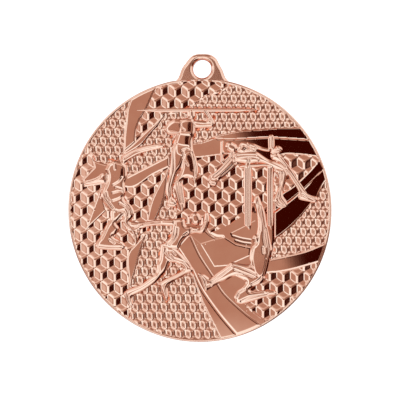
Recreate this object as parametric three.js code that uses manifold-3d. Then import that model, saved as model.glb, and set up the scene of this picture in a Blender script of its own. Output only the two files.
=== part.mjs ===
// Sports finisher medal, in millimetres. +Z is up, the obverse faces -Y, and the origin is the centre of the hanging eye.
// The medal is one struck piece of metal. Each mesh is one named feature of it: the blank, the loop, the textured
// grounds, the smooth ribbons and track lanes, and the figures that stand on them.
import * as THREE from "three";
import { ConvexGeometry } from "three/addons/geometries/ConvexGeometry.js";
import { mergeVertices } from "three/addons/utils/BufferGeometryUtils.js";
import Module from "manifold-3d";

const wasm = await Module();
wasm.setup();

// ---- driving dimensions ----
const DISC_R = 25; // radius of the blank
const FIELD_R = 24.6; // radius of the struck area inside the border
const EYE = { x: 0.55, z: 26.8, r: 1.75 }; // eye of the loop, from the disc's centre
const BACK_Y = 1.0; // reverse face
const FRONT_Y = -1.0; // front of the blank, where the grounds begin
const GROUND_Y = -1.8; // highest level of every ground, where the figures stand
const FIGURE_Y = -2.3; // highest level of the figures
const RIBBON_Y = GROUND_Y; // face of the smooth ribbons and lanes
const EDGE = 0.35; // rounding of the blank's edge
const RECESS = { r: 22, depth: 0.25 }; // label field on the reverse
const CHORD_Z = 24.5; // flat on top of the blank that the loop stands on
const GAP = 0.3; // gap between neighbouring features
const COARSE = { pitch: 2.57, row: 2.39, tilt: -0.073, slope: 0.345, at: [1.86, 5.7] };
const FINE = { pitch: 1.83, row: 1.69, tilt: 0, slope: 0.345 };

const group = new THREE.Group();
group.name = "sports_finisher_medal";

const COPPER = 0xb8765d;

// Turns a three.js geometry into a manifold solid.
function solid(geometry) {
  geometry.deleteAttribute("normal");
  geometry.deleteAttribute("uv");
  const merged = mergeVertices(geometry, 1e-5);
  return new wasm.Manifold(
    new wasm.Mesh({
      numProp: 3,
      vertProperties: merged.attributes.position.array,
      triVerts: new Uint32Array(merged.index.array),
    }),
  );
}

// Adds a solid, given in the disc's frame, to the group as one named mesh in the eye's frame.
function add(name, body, colour = COPPER) {
  const { vertProperties, triVerts } = body.getMesh();
  const geometry = new THREE.BufferGeometry();
  geometry.setAttribute("position", new THREE.BufferAttribute(new Float32Array(vertProperties), 3));
  geometry.setIndex(new THREE.BufferAttribute(new Uint32Array(triVerts), 1));
  geometry.translate(-EYE.x, 0, -EYE.z);
  geometry.computeVertexNormals();
  const material = new THREE.MeshStandardMaterial({ color: colour, metalness: 1, roughness: 0.25, flatShading: true });
  const mesh = new THREE.Mesh(geometry, material);
  mesh.name = name;
  group.add(mesh);
}

// A prism whose outline lies in the XZ plane, from y = back to y = front, where front is the smaller.
function prism(points, back, front) {
  const shape = new THREE.Shape(points.map(([x, z]) => new THREE.Vector2(x, z)));
  const geometry = new THREE.ExtrudeGeometry(shape, { depth: back - front, bevelEnabled: false, steps: 1 });
  geometry.rotateX(Math.PI / 2);
  geometry.translate(0, back, 0);
  return solid(geometry);
}

// The prism's outline moved inwards by d on every side.
function inset(points, d) {
  const area = THREE.ShapeUtils.area(points.map(([x, z]) => new THREE.Vector2(x, z)));
  const ring = area < 0 ? [...points].reverse() : points;
  const n = ring.length;
  return ring.map(([x, z], i) => {
    const [ax, az] = ring[(i + n - 1) % n];
    const [bx, bz] = ring[(i + 1) % n];
    const into = new THREE.Vector2(x - ax, z - az).normalize();
    const out = new THREE.Vector2(bx - x, bz - z).normalize();
    const bisector = new THREE.Vector2(-into.y - out.y, into.x + out.x).normalize();
    const reach = Math.min(d / Math.max(0.15, bisector.dot(new THREE.Vector2(-into.y, into.x))), 6 * d);
    return [x + bisector.x * reach, z + bisector.y * reach];
  });
}

// A tapered limb with round ends, drawn in at the front by its draft.
function limb([x0, z0, r0, x1, z1, r1], back, front, grow = 0, draft = 0.14) {
  const points = [];
  [
    [back, grow],
    [front, grow - draft],
  ].forEach(([y, more]) =>
    [
      [x0, z0, r0],
      [x1, z1, r1],
    ].forEach(([x, z, r]) => {
      for (let k = 0; k < 10; k += 1) {
        const a = (2 * Math.PI * k) / 10;
        points.push(new THREE.Vector3(x + (r + more) * Math.cos(a), y, z + (r + more) * Math.sin(a)));
      }
    }),
  );
  return solid(new ConvexGeometry(points));
}

function figure(limbs, grow = 0, back = GROUND_Y, front = FIGURE_Y) {
  return limbs.map((l) => limb(l, back, front, grow)).reduce((a, b) => a.add(b));
}

// A sheet of cube corners. Peaks, half-height corners and low corners alternate on a triangular lattice, so every
// cube shows a top, a left and a right face.
function blocks({ pitch, row, tilt, slope, at }, reach = 20) {
  const half = row / 3;
  const right = [pitch / 2, half + (tilt * pitch) / 2];
  const left = [-pitch / 2, half - (tilt * pitch) / 2];
  const drop = slope * row * 0.66667;
  const positions = [];
  const index = [];
  const side = 2 * reach + 1;
  for (const layer of [0, 1]) {
    for (let j = -reach; j <= reach; j += 1) {
      for (let i = -reach; i <= reach; i += 1) {
        const kind = (((i + j) % 3) + 3) % 3;
        const y = layer ? FRONT_Y : GROUND_Y + (drop * kind) / 2;
        positions.push(at[0] + i * right[0] + j * left[0], y, at[1] + i * right[1] + j * left[1]);
      }
    }
  }
  const under = side * side;
  const id = (i, j, layer) => layer * under + j * side + i;
  for (let j = 0; j < side - 1; j += 1) {
    for (let i = 0; i < side - 1; i += 1) {
      const [a, b, c, d] = [id(i, j, 0), id(i + 1, j, 0), id(i + 1, j + 1, 0), id(i, j + 1, 0)];
      index.push(a, b, c, a, c, d);
      index.push(a + under, c + under, b + under, a + under, d + under, c + under);
    }
  }
  for (let k = 0; k < side - 1; k += 1) {
    [
      [id(k + 1, 0, 0), id(k, 0, 0)],
      [id(side - 1, k + 1, 0), id(side - 1, k, 0)],
      [id(k, side - 1, 0), id(k + 1, side - 1, 0)],
      [id(0, k, 0), id(0, k + 1, 0)],
    ].forEach(([a, b]) => index.push(a, b, b + under, a, b + under, a + under));
  }
  const geometry = new THREE.BufferGeometry();
  geometry.setAttribute("position", new THREE.BufferAttribute(new Float32Array(positions), 3));
  geometry.setIndex(index);
  return solid(geometry);
}

// ---- border lines of the grounds, from the disc's centre; the ends beyond the rim are trimmed to the disc ----
const sweepLeft = [[-12.6, 23.5], [-13.0, 20.9], [-13.6, 19.3], [-13.9, 16.6], [-14.2, 14.0], [-14.3, 11.2]];
const sweepRight = [[-7.3, 25.2], [-9.9, 19.3], [-11.0, 17.6], [-11.85, 15.4], [-12.1, 13.0]];
const diagonalTop = [[-14.3, 11.2], [-12.9, 12.3], [-12.1, 13.0], [-9.9, 15.1], [-6.4, 18.3]];
const diagonalUnder = [[-6.4, 18.3], [-7.4, 16.6], [-9.4, 14.3], [-10.5, 12.9], [-11.6, 12.0], [-14.2, 10.4]];
const topSeam = [[-6.4, 18.3], [-2.5, 19.3], [0.6, 21.4], [5.2, 23.3], [5.9, 25.9]];
const wedgeTop = [[2.6, 13.6], [4, 14.2], [8, 15.0], [11, 15.2], [15, 15.5], [19.2, 15.6], [22.3, 15.9]];
const wedgeUnder = [[2.6, 13.6], [5.5, 13.4], [8, 13.5], [13, 13.75], [16, 13.6], [20.5, 13.3], [23.4, 13.1]];
const broadTop = [[-2.3, 12.5], [-0.7, 12.7], [1, 13.0], [2.6, 13.6]];
const broadUnder = [[-2.3, 10.2], [-0.4, 9.95], [4.2, 10.5], [6.3, 10.6], [9, 10.2], [14.2, 8.2]];
const broadRight = [[14.2, 8.2], [15.5, 10.4], [19, 10.5], [22.3, 10.1], [24.8, 9.9]];
const leftSeam = [[-23.2, 14.9], [-21.2, 12.3], [-20.3, 9.5]];
const leftNotch = [[-20.3, 9.5], [-20.0, 8.1], [-22.2, 5.9], [-21.9, 4.4]];
const bandTop = [[-17.0, 9.6], [-14.2, 9.0], [-13.6, 6.3], [-5.7, 10.3]];
const bandUnder = [[-16.6, 5.2], [-12.7, 4.3], [-8.8, 6.7], [-5.6, 8.25]];
const steepLeft = [[-5.6, 8.25], [-8, 4], [-9.2, 1.2], [-10, -2.2]];
const steepRight = [[-5.6, 8.25], [-6.0, 6], [-6.6, 2.2], [-8.4, -2.2]];
const legSeam = [[-4.9, 8.2], [-4.4, 0.4], [-4.2, -2.2]];
const narrowLeft = [[-9.9, -4.2], [-12.2, -6.6], [-13.7, -9], [-13.2, -15]];
const narrowRight = [[-9.9, -4.2], [-11.1, -7.5], [-12, -11], [-13.2, -15]];
const lowSeam = [[-13.2, -15], [-13.3, -20.8], [-14.1, -23.6]];
const middleTop = [[-4.2, -2.2], [1.0, -3.2], [2.3, -4.2], [4.5, -3.2], [6, -2.6], [7.2, -1.7], [10.4, -0.3], [14.2, -0.4]];
const risingTop = [[14.2, 1.9], [16, 3.4], [18, 4.7], [21, 7.5], [22.9, 9.5], [24.8, 9.9]];
const risingMid = [[14.2, -0.4], [16.5, 1.3], [18.5, 2.9], [20, 4.2], [21.8, 6], [23.5, 7.9], [25.4, 9.2]];
const risingUnder = [[14.2, -5.5], [16, -4.2], [18, -2.4], [20, -0.2], [22.3, 3.0], [23.7, 5.4], [25.8, 7.4]];
const turnTop = [[13.6, -9.2], [16, -8.7], [20, -7.7], [23.5, -6.3], [26.2, -5.4]];
const turnUnder = [[11.5, -12.5], [12.9, -11.9], [15, -11.7], [18, -11.1], [22.8, -9.7], [25.4, -8.8]];
const trackLeft = [[-2, -4.6], [-4.2, -7], [-1.3, -11.4], [-0.36, -14.7], [0.6, -17.4], [2.5, -21.2], [4.9, -26]];
const laneOne = [[-1.3, -11.4], [-0.1, -14], [1.2, -16.2], [4, -20], [7.1, -23.6], [8.9, -25.7]];
const laneTwo = [[-1.4, -4.9], [0.3, -8.5], [2.9, -12.5], [5, -15.8], [9, -19.5], [11.6, -21.4], [13.5, -23]];
const trackRight = [[11, -9], [11.5, -12.5], [9.2, -14.8], [9.1, -17.8], [11, -19.5], [13, -21], [14.8, -22.4]];
const panel = [[0.3, -6.4], [3.1, -5.5], [5.0, -5.2], [7, -6.5], [9.8, -7.1], [9.6, -8.6], [5.4, -10.5], [2.9, -10.7]];
const flag = [[-18.8, 4.2], [-21.8, -4.0], [-17.7, -0.1]];

// Joins border lines into one outline. A minus sign, given as true, walks that line backwards.
function outline(...parts) {
  const ring = parts.flatMap(([line, backwards]) => (backwards ? [...line].reverse() : line));
  return ring.filter(([x, z], i) => {
    const [px, pz] = ring[(i + ring.length - 1) % ring.length];
    return Math.hypot(x - px, z - pz) > 1e-6;
  });
}

const coarseGrounds = {
  ground_coarse_top: outline([sweepRight], [diagonalTop.slice(2)], [topSeam]),
  ground_coarse_left: outline(
    [leftSeam], [leftNotch], [bandUnder], [steepLeft], [narrowLeft], [lowSeam], [[[-27, -14], [-31, 0], [-27, 12]]],
  ),
  ground_coarse_centre: outline(
    [legSeam, true], [[[-2.3, 10.2]]], [broadUnder], [middleTop, true],
  ),
  ground_coarse_right: outline([broadRight], [risingTop, true]),
  ground_coarse_lower_right: outline([turnUnder], [[[24, -20]]], [trackRight.slice(1), true]),
};

const fineGrounds = {
  ground_fine_upper_left: [
    [-17.8, 13.6],
    outline([leftSeam], [[[-17.0, 9.6], [-14.2, 9.0], [-14.2, 10.4]]], [sweepLeft, true], [[[-22, 24]]]),
  ],
  ground_fine_left: [[-9.0, 13.4], outline([diagonalUnder], [[[-14.2, 9.0]]], [bandTop.slice(2)], [[[-5.4, 10.4], [-2.3, 12.5], [-2.5, 19.3]]])],
  ground_fine_top: [
    [9.8, 19.85],
    outline([topSeam.slice(1), true], [broadTop], [wedgeTop], [[[20, 26]]]),
  ],
  ground_fine_inner: [[-6.5, -0.2], outline([steepRight], [[[-4.2, -2.2]]], [legSeam, true])],
  ground_fine_bottom: [
    [-4.4, -17.95],
    outline([narrowRight], [lowSeam], [[[-5, -30]]], [trackLeft, true], [[[-4.2, -2.8], [-9.6, -2.8]]]),
  ],
  ground_fine_right: [[22.0, -0.15], outline([risingUnder], [[[30, 0]]], [turnTop, true])],
};

const ribbons = {
  ribbon_sweep: outline([sweepLeft, true], [sweepRight], [[[-12.9, 12.3]]]),
  ribbon_diagonal: outline([diagonalTop], [diagonalUnder]),
  ribbon_band: outline([bandTop], [[[-5.6, 8.25]]], [bandUnder, true]),
  ribbon_band_end: outline([leftNotch], [[[-16.6, 5.2], [-17.0, 9.6]]]),
  ribbon_steep: outline([steepLeft], [steepRight, true]),
  ribbon_narrow: outline([narrowLeft], [narrowRight, true]),
  ribbon_wedge: outline([wedgeTop], [wedgeUnder, true]),
  ribbon_broad: outline([broadTop], [wedgeUnder], [[[26, 11.5]]], [broadRight, true], [broadUnder, true]),
  ribbon_rising_upper: outline([risingTop], [risingMid, true]),
  ribbon_rising_lower: outline([risingMid], [risingUnder, true]),
  ribbon_turn: outline([turnTop], [turnUnder, true], [[[11, -9]]]),
  ribbon_middle: outline(
    [middleTop.slice(1)], [[[14.2, -5.5], [13.6, -9.2], [11, -9]]],
    [[panel[5], panel[4], panel[3], panel[2], panel[1], panel[0]]], [[[-1.4, -4.9], [-2, -4.6]]],
  ),
  track_panel: panel,
  track_lane_inner: outline([laneOne], [trackLeft.slice(2), true]),
  track_lane_middle: outline([trackLeft.slice(0, 3)], [laneOne], [laneTwo, true]),
  track_lane_outer: outline([laneTwo], [trackRight, true], [[panel[5], panel[6], panel[7], panel[0]]]),
};

// ---- figures: each limb is [x, z, radius, x, z, radius] ----
const thrower = [
  [-1.45, 18.2, 0.8, -1.35, 17.8, 0.7],
  [-1.5, 17.3, 0.5, -2.1, 16.4, 1.2],
  [-2.2, 16.2, 1.35, -2.8, 13.4, 1.05],
  [-2.8, 13.4, 1.05, -3.0, 11.2, 1.75],
  [-0.9, 16.8, 0.55, 2.4, 16.4, 0.45],
  [2.4, 16.4, 0.45, 1.3, 18.2, 0.35],
  [-3.5, 16.7, 0.5, -5.4, 17.0, 0.4],
  [-3.9, 11.2, 1.0, -4.8, 7.4, 0.75],
  [-4.8, 7.4, 0.75, -5.4, 2.2, 0.45],
  [-5.5, 1.5, 0.4, -4.6, 1.3, 0.35],
  [-2.3, 11, 0.95, -1.9, 7.3, 0.95],
  [-1.9, 7.2, 0.75, -3.7, 4.2, 0.6],
  [-3.7, 4.2, 0.6, -3.1, 0.7, 0.35],
];
const jumper = [
  [-15.8, 8.7, 0.9, -15.8, 7.2, 0.6],
  [-16.1, 6, 1.7, -15.7, 1.8, 1.55],
  [-17.3, 6.0, 0.55, -19.4, 5.7, 0.45],
  [-19.4, 5.7, 0.45, -21.6, 5.1, 0.4],
  [-14.6, 6.8, 0.6, -13.9, 9.3, 0.5],
  [-13.9, 9.4, 0.45, -10.8, 11.0, 0.4],
  [-10.8, 11, 0.4, -6.4, 11.9, 0.33],
  [-15.7, 1.8, 1.6, -15.2, 0.4, 1.8],
  [-16.2, 0.2, 1.3, -16.2, -2.6, 1.1],
  [-16.4, -2.8, 0.95, -18.3, -6.2, 0.6],
  [-19.1, -6.7, 0.4, -14.9, -6.9, 0.4],
  [-14.2, 0.2, 1.2, -13.6, -2, 0.9],
  [-13.5, -2.2, 0.75, -12.2, -6.2, 0.4],
];
const hurdler = [
  [7.2, 12.6, 0.95, 8.2, 12.5, 0.85],
  [6.6, 11.2, 0.95, 10.2, 10.8, 1.3],
  [10.2, 10.8, 1.3, 13.4, 9.9, 1.1],
  [6.2, 10.6, 0.55, 4.4, 8.3, 0.42],
  [4.4, 8.3, 0.42, 2.8, 5.9, 0.4],
  [5.6, 11.2, 0.5, 4.35, 10.4, 0.35],
  [4.35, 9.9, 0.33, 4.35, 13.0, 0.3],
  [10.6, 12.2, 0.45, 13.4, 11.6, 0.45],
  [13.8, 11.5, 0.45, 13.8, 14.0, 0.45],
  [13.8, 11.6, 0.45, 15.2, 11.4, 0.5],
  [14.2, 9.8, 1.2, 17.2, 7.0, 0.95],
  [17.2, 7.0, 0.9, 20.0, 3.7, 0.55],
  [20, 3.5, 0.5, 21.9, 2.1, 0.4],
  [15.3, 8.2, 0.8, 15.9, 5.6, 0.75],
  [15.9, 5.6, 0.7, 15.0, 2.6, 0.5],
  [14.9, 2, 0.45, 16.0, 1.0, 0.4],
];
const sprinter = [
  [-0.4, -1.3, 1.1, -0.3, -1.8, 1.0],
  [-1.4, -0.9, 0.55, -2.8, -0.9, 0.3],
  [-0.6, -2.6, 0.6, -1.6, -3.2, 0.8],
  [-1.4, -3.6, 0.8, -4.2, -2.9, 0.9],
  [-3.2, -3.9, 1.6, -5.6, -6.9, 1.5],
  [-5.6, -7, 1.6, -6.2, -8.2, 1.5],
  [-4.6, -2.6, 0.6, -9, -2.5, 0.45],
  [-9, -2.5, 0.45, -12, -3.3, 0.45],
  [-5.6, -8, 1.4, -2.2, -10.4, 0.95],
  [-2.3, -10.9, 0.8, -5.9, -13.3, 0.55],
  [-6.1, -13.7, 0.5, -6.4, -16.5, 0.4],
  [-7, -8.8, 1.3, -8.6, -11.8, 0.9],
  [-8.8, -12.2, 0.75, -12.5, -15.2, 0.5],
  [-13.2, -15.9, 0.5, -12.9, -17.9, 0.4],
  [-12.5, -15.2, 0.5, -13.2, -15.9, 0.5],
];
const leaper = [
  [10.9, 2.3, 0.35, 11.6, -1.5, 0.5],
  [11.6, -1.5, 0.55, 12.2, -4.5, 0.85],
  [12.2, -4.5, 0.9, 11.6, -8, 1.3],
  [10.9, -5.2, 0.8, 10.8, -5.5, 0.75],
  [11.6, -8, 1.3, 11.3, -11.2, 1.2],
  [11, -11.2, 1.1, 7.2, -10.6, 0.8],
  [7.0, -10.9, 0.7, 2.2, -12.9, 0.5],
  [2.2, -12.9, 0.5, 1.2, -14.6, 0.4],
  [11.2, -12, 1.1, 8.4, -14.2, 0.8],
  [8.2, -14.6, 0.7, 7.7, -16.8, 0.45],
  [7.9, -17.0, 0.4, 11.0, -15.9, 0.4],
  [12.2, -12.4, 0.6, 14.8, -15.4, 0.5],
];
const javelin = [[-11.7, 18.95], [-8, 18.82], [7.5, 18.82], [10.9, 18.95], [10.9, 19.05], [7.5, 19.18], [-8, 19.18], [-11.7, 19.05]];
const hurdleFrame = [
  [[8.6, -2.9], [9.9, -2.9], [9.9, 8.6], [8.6, 8.6]],
  [[13.0, -2.9], [13.9, -2.9], [13.9, 8.6], [13.0, 8.6]],
  [[8.0, 7.7], [13.9, 7.7], [13.9, 8.6], [8.0, 8.6]],
];

// ---- blank: a turned disc with rounded edges and a shallow label field on the reverse ----
const profile = [
  [0, FRONT_Y],
  [DISC_R - EDGE, FRONT_Y],
  [DISC_R - 0.3 * EDGE, FRONT_Y + 0.3 * EDGE],
  [DISC_R, FRONT_Y + EDGE],
  [DISC_R, BACK_Y - EDGE],
  [DISC_R - 0.3 * EDGE, BACK_Y - 0.3 * EDGE],
  [DISC_R - EDGE, BACK_Y],
  [0, BACK_Y],
];
const labelField = [
  [0, BACK_Y - RECESS.depth],
  [RECESS.r, BACK_Y - RECESS.depth],
  [RECESS.r + 2 * RECESS.depth, BACK_Y + RECESS.depth],
  [0, BACK_Y + RECESS.depth],
];
function turned(points, segments = 72) {
  return solid(new THREE.LatheGeometry(points.map(([r, y]) => new THREE.Vector2(r, y)), segments));
}
function disc(radius, back, front) {
  const geometry = new THREE.CylinderGeometry(radius, radius, back - front, 96);
  geometry.translate(0, (back + front) / 2, 0);
  return solid(geometry);
}
function box(x0, x1, y0, y1, z0, z1) {
  const geometry = new THREE.BoxGeometry(x1 - x0, y1 - y0, z1 - z0);
  geometry.translate((x0 + x1) / 2, (y0 + y1) / 2, (z0 + z1) / 2);
  return solid(geometry);
}
const top = box(-8, 8, -3, 3, CHORD_Z, 27);
add("medal_blank", turned(profile).subtract(turned(labelField)).subtract(top));

// ---- loop: a flat ear that stands on the blank's top flat, with a round eye ----
const ear = [
  [-4.85, CHORD_Z], [4.85, CHORD_Z], [4.9, 25.2], [4.5, 26.3], [4.1, 27.1], [3.7, 27.8], [3.3, 28.6], [2.4, 29.4],
  [1.6, 29.56], [-0.5, 29.56], [-1.25, 29.4], [-2.0, 28.6], [-2.6, 27.8], [-3.15, 27.1], [-3.5, 26.3], [-3.9, 25.2],
];
const eye = new THREE.CylinderGeometry(EYE.r, EYE.r, 6, 40);
eye.translate(EYE.x, 0, EYE.z);
add("hanging_loop", prism(ear, BACK_Y, -1.3).subtract(solid(eye)));

// ---- grounds ----
const field = disc(FIELD_R, FRONT_Y, FIGURE_Y - 1).subtract(box(-8, 8, -5, 3, CHORD_Z - GAP, 27));
const cutFlag = prism(inset(flag, -GAP), FRONT_Y, GROUND_Y - 1);
const coarseSheet = blocks(COARSE);
for (const [name, points] of Object.entries(coarseGrounds)) {
  let ground = coarseSheet.intersect(prism(inset(points, GAP / 2), FRONT_Y, -3)).intersect(field);
  if (name === "ground_coarse_left") ground = ground.subtract(cutFlag);
  add(name, ground, 0xa96a52);
}
for (const [name, [at, points]] of Object.entries(fineGrounds)) {
  const sheet = blocks({ ...FINE, at }, 30);
  add(name, sheet.intersect(prism(inset(points, GAP / 2), FRONT_Y, -3)).intersect(field), 0xc58469);
}
for (const [name, points] of Object.entries(ribbons)) {
  add(name, prism(inset(points, GAP / 2), FRONT_Y, RIBBON_Y).intersect(field));
}
add("ribbon_flag", prism(flag, FRONT_Y, RIBBON_Y));

// ---- figures, standing on the highest level of the grounds ----
add("javelin", prism(javelin, GROUND_Y, -2.15), 0xd39a80);
add("athlete_thrower", figure(thrower).subtract(prism(inset(javelin, -GAP), 0, FIGURE_Y - 1)), 0xd39a80);
add("athlete_jumper", figure(jumper), 0xd39a80);
add("athlete_hurdler", figure(hurdler), 0xd39a80);
add("athlete_sprinter", figure(sprinter), 0xd39a80);
add("athlete_leaper", figure(leaper), 0xd39a80);
const frame = hurdleFrame.map((p) => prism(p, GROUND_Y, -2.1)).reduce((a, b) => a.add(b));
add("hurdle", frame.subtract(figure(hurdler, GAP, GROUND_Y + 1, FIGURE_Y - 1)), 0xd39a80);

export default group;
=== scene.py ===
import logging
import math
from dataclasses import dataclass, field
from enum import Enum
from typing import Callable, Sequence

import bpy
import numpy as np
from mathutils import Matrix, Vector


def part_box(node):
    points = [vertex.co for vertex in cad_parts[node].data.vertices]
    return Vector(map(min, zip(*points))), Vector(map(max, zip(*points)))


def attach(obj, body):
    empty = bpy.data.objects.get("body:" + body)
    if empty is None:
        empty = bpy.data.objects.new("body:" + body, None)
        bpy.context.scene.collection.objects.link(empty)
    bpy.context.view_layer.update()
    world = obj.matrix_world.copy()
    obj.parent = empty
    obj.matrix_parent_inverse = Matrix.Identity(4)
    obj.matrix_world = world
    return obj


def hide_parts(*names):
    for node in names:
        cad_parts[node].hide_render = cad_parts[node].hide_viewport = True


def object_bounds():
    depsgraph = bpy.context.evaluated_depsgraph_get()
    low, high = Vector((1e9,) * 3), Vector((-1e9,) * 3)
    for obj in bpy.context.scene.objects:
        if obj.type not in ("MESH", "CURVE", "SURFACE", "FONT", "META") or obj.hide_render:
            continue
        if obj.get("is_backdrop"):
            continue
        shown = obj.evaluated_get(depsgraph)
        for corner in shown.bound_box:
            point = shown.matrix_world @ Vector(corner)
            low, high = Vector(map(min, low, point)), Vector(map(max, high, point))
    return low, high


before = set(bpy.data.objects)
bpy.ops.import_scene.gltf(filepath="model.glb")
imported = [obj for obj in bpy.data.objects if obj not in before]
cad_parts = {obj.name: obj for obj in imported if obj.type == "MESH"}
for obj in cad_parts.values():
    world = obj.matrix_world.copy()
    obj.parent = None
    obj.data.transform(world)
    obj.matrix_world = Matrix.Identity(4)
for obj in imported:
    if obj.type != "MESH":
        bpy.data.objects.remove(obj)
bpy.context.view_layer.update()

LOG = logging.getLogger("medal")
MM = 0.001
Array = np.ndarray
Line = tuple[tuple[float, float], ...]
Depth = Callable[[Array], Array]
Stops = Sequence[tuple[float, Sequence[float]]]
Socket = bpy.types.NodeSocket
Value = float | Socket
PLATE_BACK = -0.6  # y of the back of every struck plate, sunk in the blank, in millimetres
RIM = 24.7  # radius at which grounds and ribbons slip under the border ring


def srgb(text: str) -> tuple[float, float, float, float]:
    """Linear colour of a hex sRGB colour.

    Args:
        text: six hex digits, with or without a leading #.

    Returns:
        Red, green, blue and alpha, linear.
    """
    digits = text.lstrip("#")
    values = [int(digits[i : i + 2], 16) / 255 for i in (0, 2, 4)]
    linear = [v / 12.92 if v <= 0.04045 else ((v + 0.055) / 1.055) ** 2.4 for v in values]
    return (linear[0], linear[1], linear[2], 1.0)


# ---------------------------------------------------------------- node trees


class Tree:
    """A node tree under construction."""

    def __init__(self, tree: bpy.types.NodeTree) -> None:
        """Keeps the tree that nodes are added to."""
        self.tree = tree

    def add(self, kind: str, settings: dict | None = None, **inputs: object) -> bpy.types.Node:
        """Adds one node with its settings, values and links.

        Args:
            kind: the node's type name.
            settings: properties set on the node itself.
            inputs: values or output sockets by input name, or by _ and the input's number;
                a name's spaces are written as underscores.

        Returns:
            The new node.
        """
        node = self.tree.nodes.new(kind)
        for key, value in (settings or {}).items():
            setattr(node, key, value)
        for key, value in inputs.items():
            socket = node.inputs[int(key[1:])] if key[0] == "_" else self._named(node, key)
            if isinstance(value, Socket):
                self.tree.links.new(value, socket)
            else:
                socket.default_value = value
        return node

    @staticmethod
    def _named(node: bpy.types.Node, key: str) -> Socket:
        """The enabled input that a keyword names."""
        name = key.replace("_", " ").lower()
        return next(s for s in node.inputs if s.name.lower() == name and s.enabled)

    def math(self, operation: str, a: Value, b: Value = 0.0, c: Value = 0.0) -> Socket:
        """Adds a Math node.

        Args:
            operation: the node's operation.
            a: first value or socket.
            b: second value or socket.
            c: third value or socket.

        Returns:
            The result socket.
        """
        return self.add("ShaderNodeMath", {"operation": operation}, _0=a, _1=b, _2=c).outputs[0]

    def share(self, value: Value, low: float, high: float) -> Socket:
        """How far a value is from low to high, kept from 0 to 1."""
        return self.add("ShaderNodeMapRange", None, Value=value, From_Min=low, From_Max=high).outputs[0]

    def mix(self, share: Value, first: Value, second: Value) -> Socket:
        """Blends two values by the share of the second."""
        return self.add("ShaderNodeMix", {"data_type": "FLOAT"}, _0=share, _2=first, _3=second).outputs[0]

    def colours(self, place: Value, stops: Stops) -> Socket:
        """Looks a colour up in a ramp.

        Args:
            place: where to look, from 0 to 1.
            stops: places and their colours.

        Returns:
            The colour socket.
        """
        node = self.add("ShaderNodeValToRGB", None, Fac=place)
        elements = node.color_ramp.elements
        while len(elements) < len(stops):
            elements.new(0.5)
        for element, (at, colour) in zip(elements, stops):
            element.position = at
            element.color = (*colour, 1.0)
        return node.outputs["Color"]

    def ramp(self, value: Value, low: float, high: float, stops: Line) -> Socket:
        """A grey curve through straight pieces.

        Args:
            value: the value to look up.
            low: value at the curve's left end.
            high: value at the curve's right end.
            stops: (value, result) pairs between them.

        Returns:
            The result socket.
        """
        top = max(level for _, level in stops)
        greys = [((at - low) / (high - low), (level / top,) * 3) for at, level in stops]
        return self.math("MULTIPLY", self.colours(self.share(value, low, high), greys), top)


# ---------------------------------------------------------------- flat sheets and reliefs


def curve_through(points: Line, step: float = 0.7) -> Array:
    """A smooth line through points.

    Args:
        points: the points, in millimetres.
        step: rough distance between the points of the result.

    Returns:
        The line's points, ends included.
    """
    p = np.array(points, float)
    padded = np.vstack([2 * p[0] - p[1], p, 2 * p[-1] - p[-2]])
    found = [p[0]]
    for k in range(len(p) - 1):
        a, b, c, d = padded[k : k + 4]
        square, cube = 2 * a - 5 * b + 4 * c - d, 3 * b - a - 3 * c + d
        count = max(1, int(np.linalg.norm(c - b) / step))
        for t in np.linspace(0, 1, count + 1)[1:]:
            found.append(0.5 * (2 * b + (c - a) * t + square * t**2 + cube * t**3))
    return np.array(found)


def ring_of(*parts: Array) -> Array:
    """One closed outline from lines that meet end to end.

    Args:
        parts: the lines, in order.

    Returns:
        The outline's points without repeats.
    """
    ring = np.vstack([np.asarray(p, float).reshape(-1, 2) for p in parts])
    apart = np.linalg.norm(ring - np.roll(ring, 1, axis=0), axis=1)
    return ring[apart > 1e-3]


def smooth_max(a: Array, b: Array, k: float) -> Array:
    """Larger of two values, with a soft change-over.

    Args:
        a: first values.
        b: second values.
        k: width of the change-over.

    Returns:
        The blended values.
    """
    h = np.maximum(k - np.abs(a - b), 0) / k
    return np.maximum(a, b) + h * h * k / 4


def segment_distance(points: Array, start: Array, end: Array) -> Array:
    """Distance from points to a straight piece of line.

    Args:
        points: places to measure, N by 2.
        start: the piece's first end.
        end: the piece's other end.

    Returns:
        N distances in millimetres.
    """
    run, out = end - start, points - start
    t = np.clip(out @ run / (run @ run), 0, 1)
    return np.hypot(*(out - t[:, None] * run).T)


def polygon_depth(points: Array, ring: Array) -> Array:
    """Distance inside an outline, negative outside.

    Args:
        points: places to measure, N by 2.
        ring: the outline.

    Returns:
        N depths in millimetres.
    """
    nearest = np.full(len(points), np.inf)
    odd = np.zeros(len(points), bool)
    for a, b in zip(ring, np.roll(ring, -1, axis=0)):
        edge = b - a
        nearest = np.minimum(nearest, segment_distance(points, a, b))
        crossing = (a[1] > points[:, 1]) != (b[1] > points[:, 1])
        if edge[1] != 0:
            odd ^= crossing & (points[:, 0] < a[0] + (points[:, 1] - a[1]) * edge[0] / edge[1])
    return np.where(odd, nearest, -nearest)


def box_of(outline: Array, limit: float = 25.0, margin: float = 1.0) -> tuple[Array, Array]:
    """A box with room round the part of an outline that lies on the disc.

    Args:
        outline: the outline's points.
        limit: how far from the disc's centre the box may reach before its margin.
        margin: room left round it.

    Returns:
        Its lowest and highest corner.
    """
    return np.maximum(outline.min(0), -limit) - margin, np.minimum(outline.max(0), limit) + margin


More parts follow.
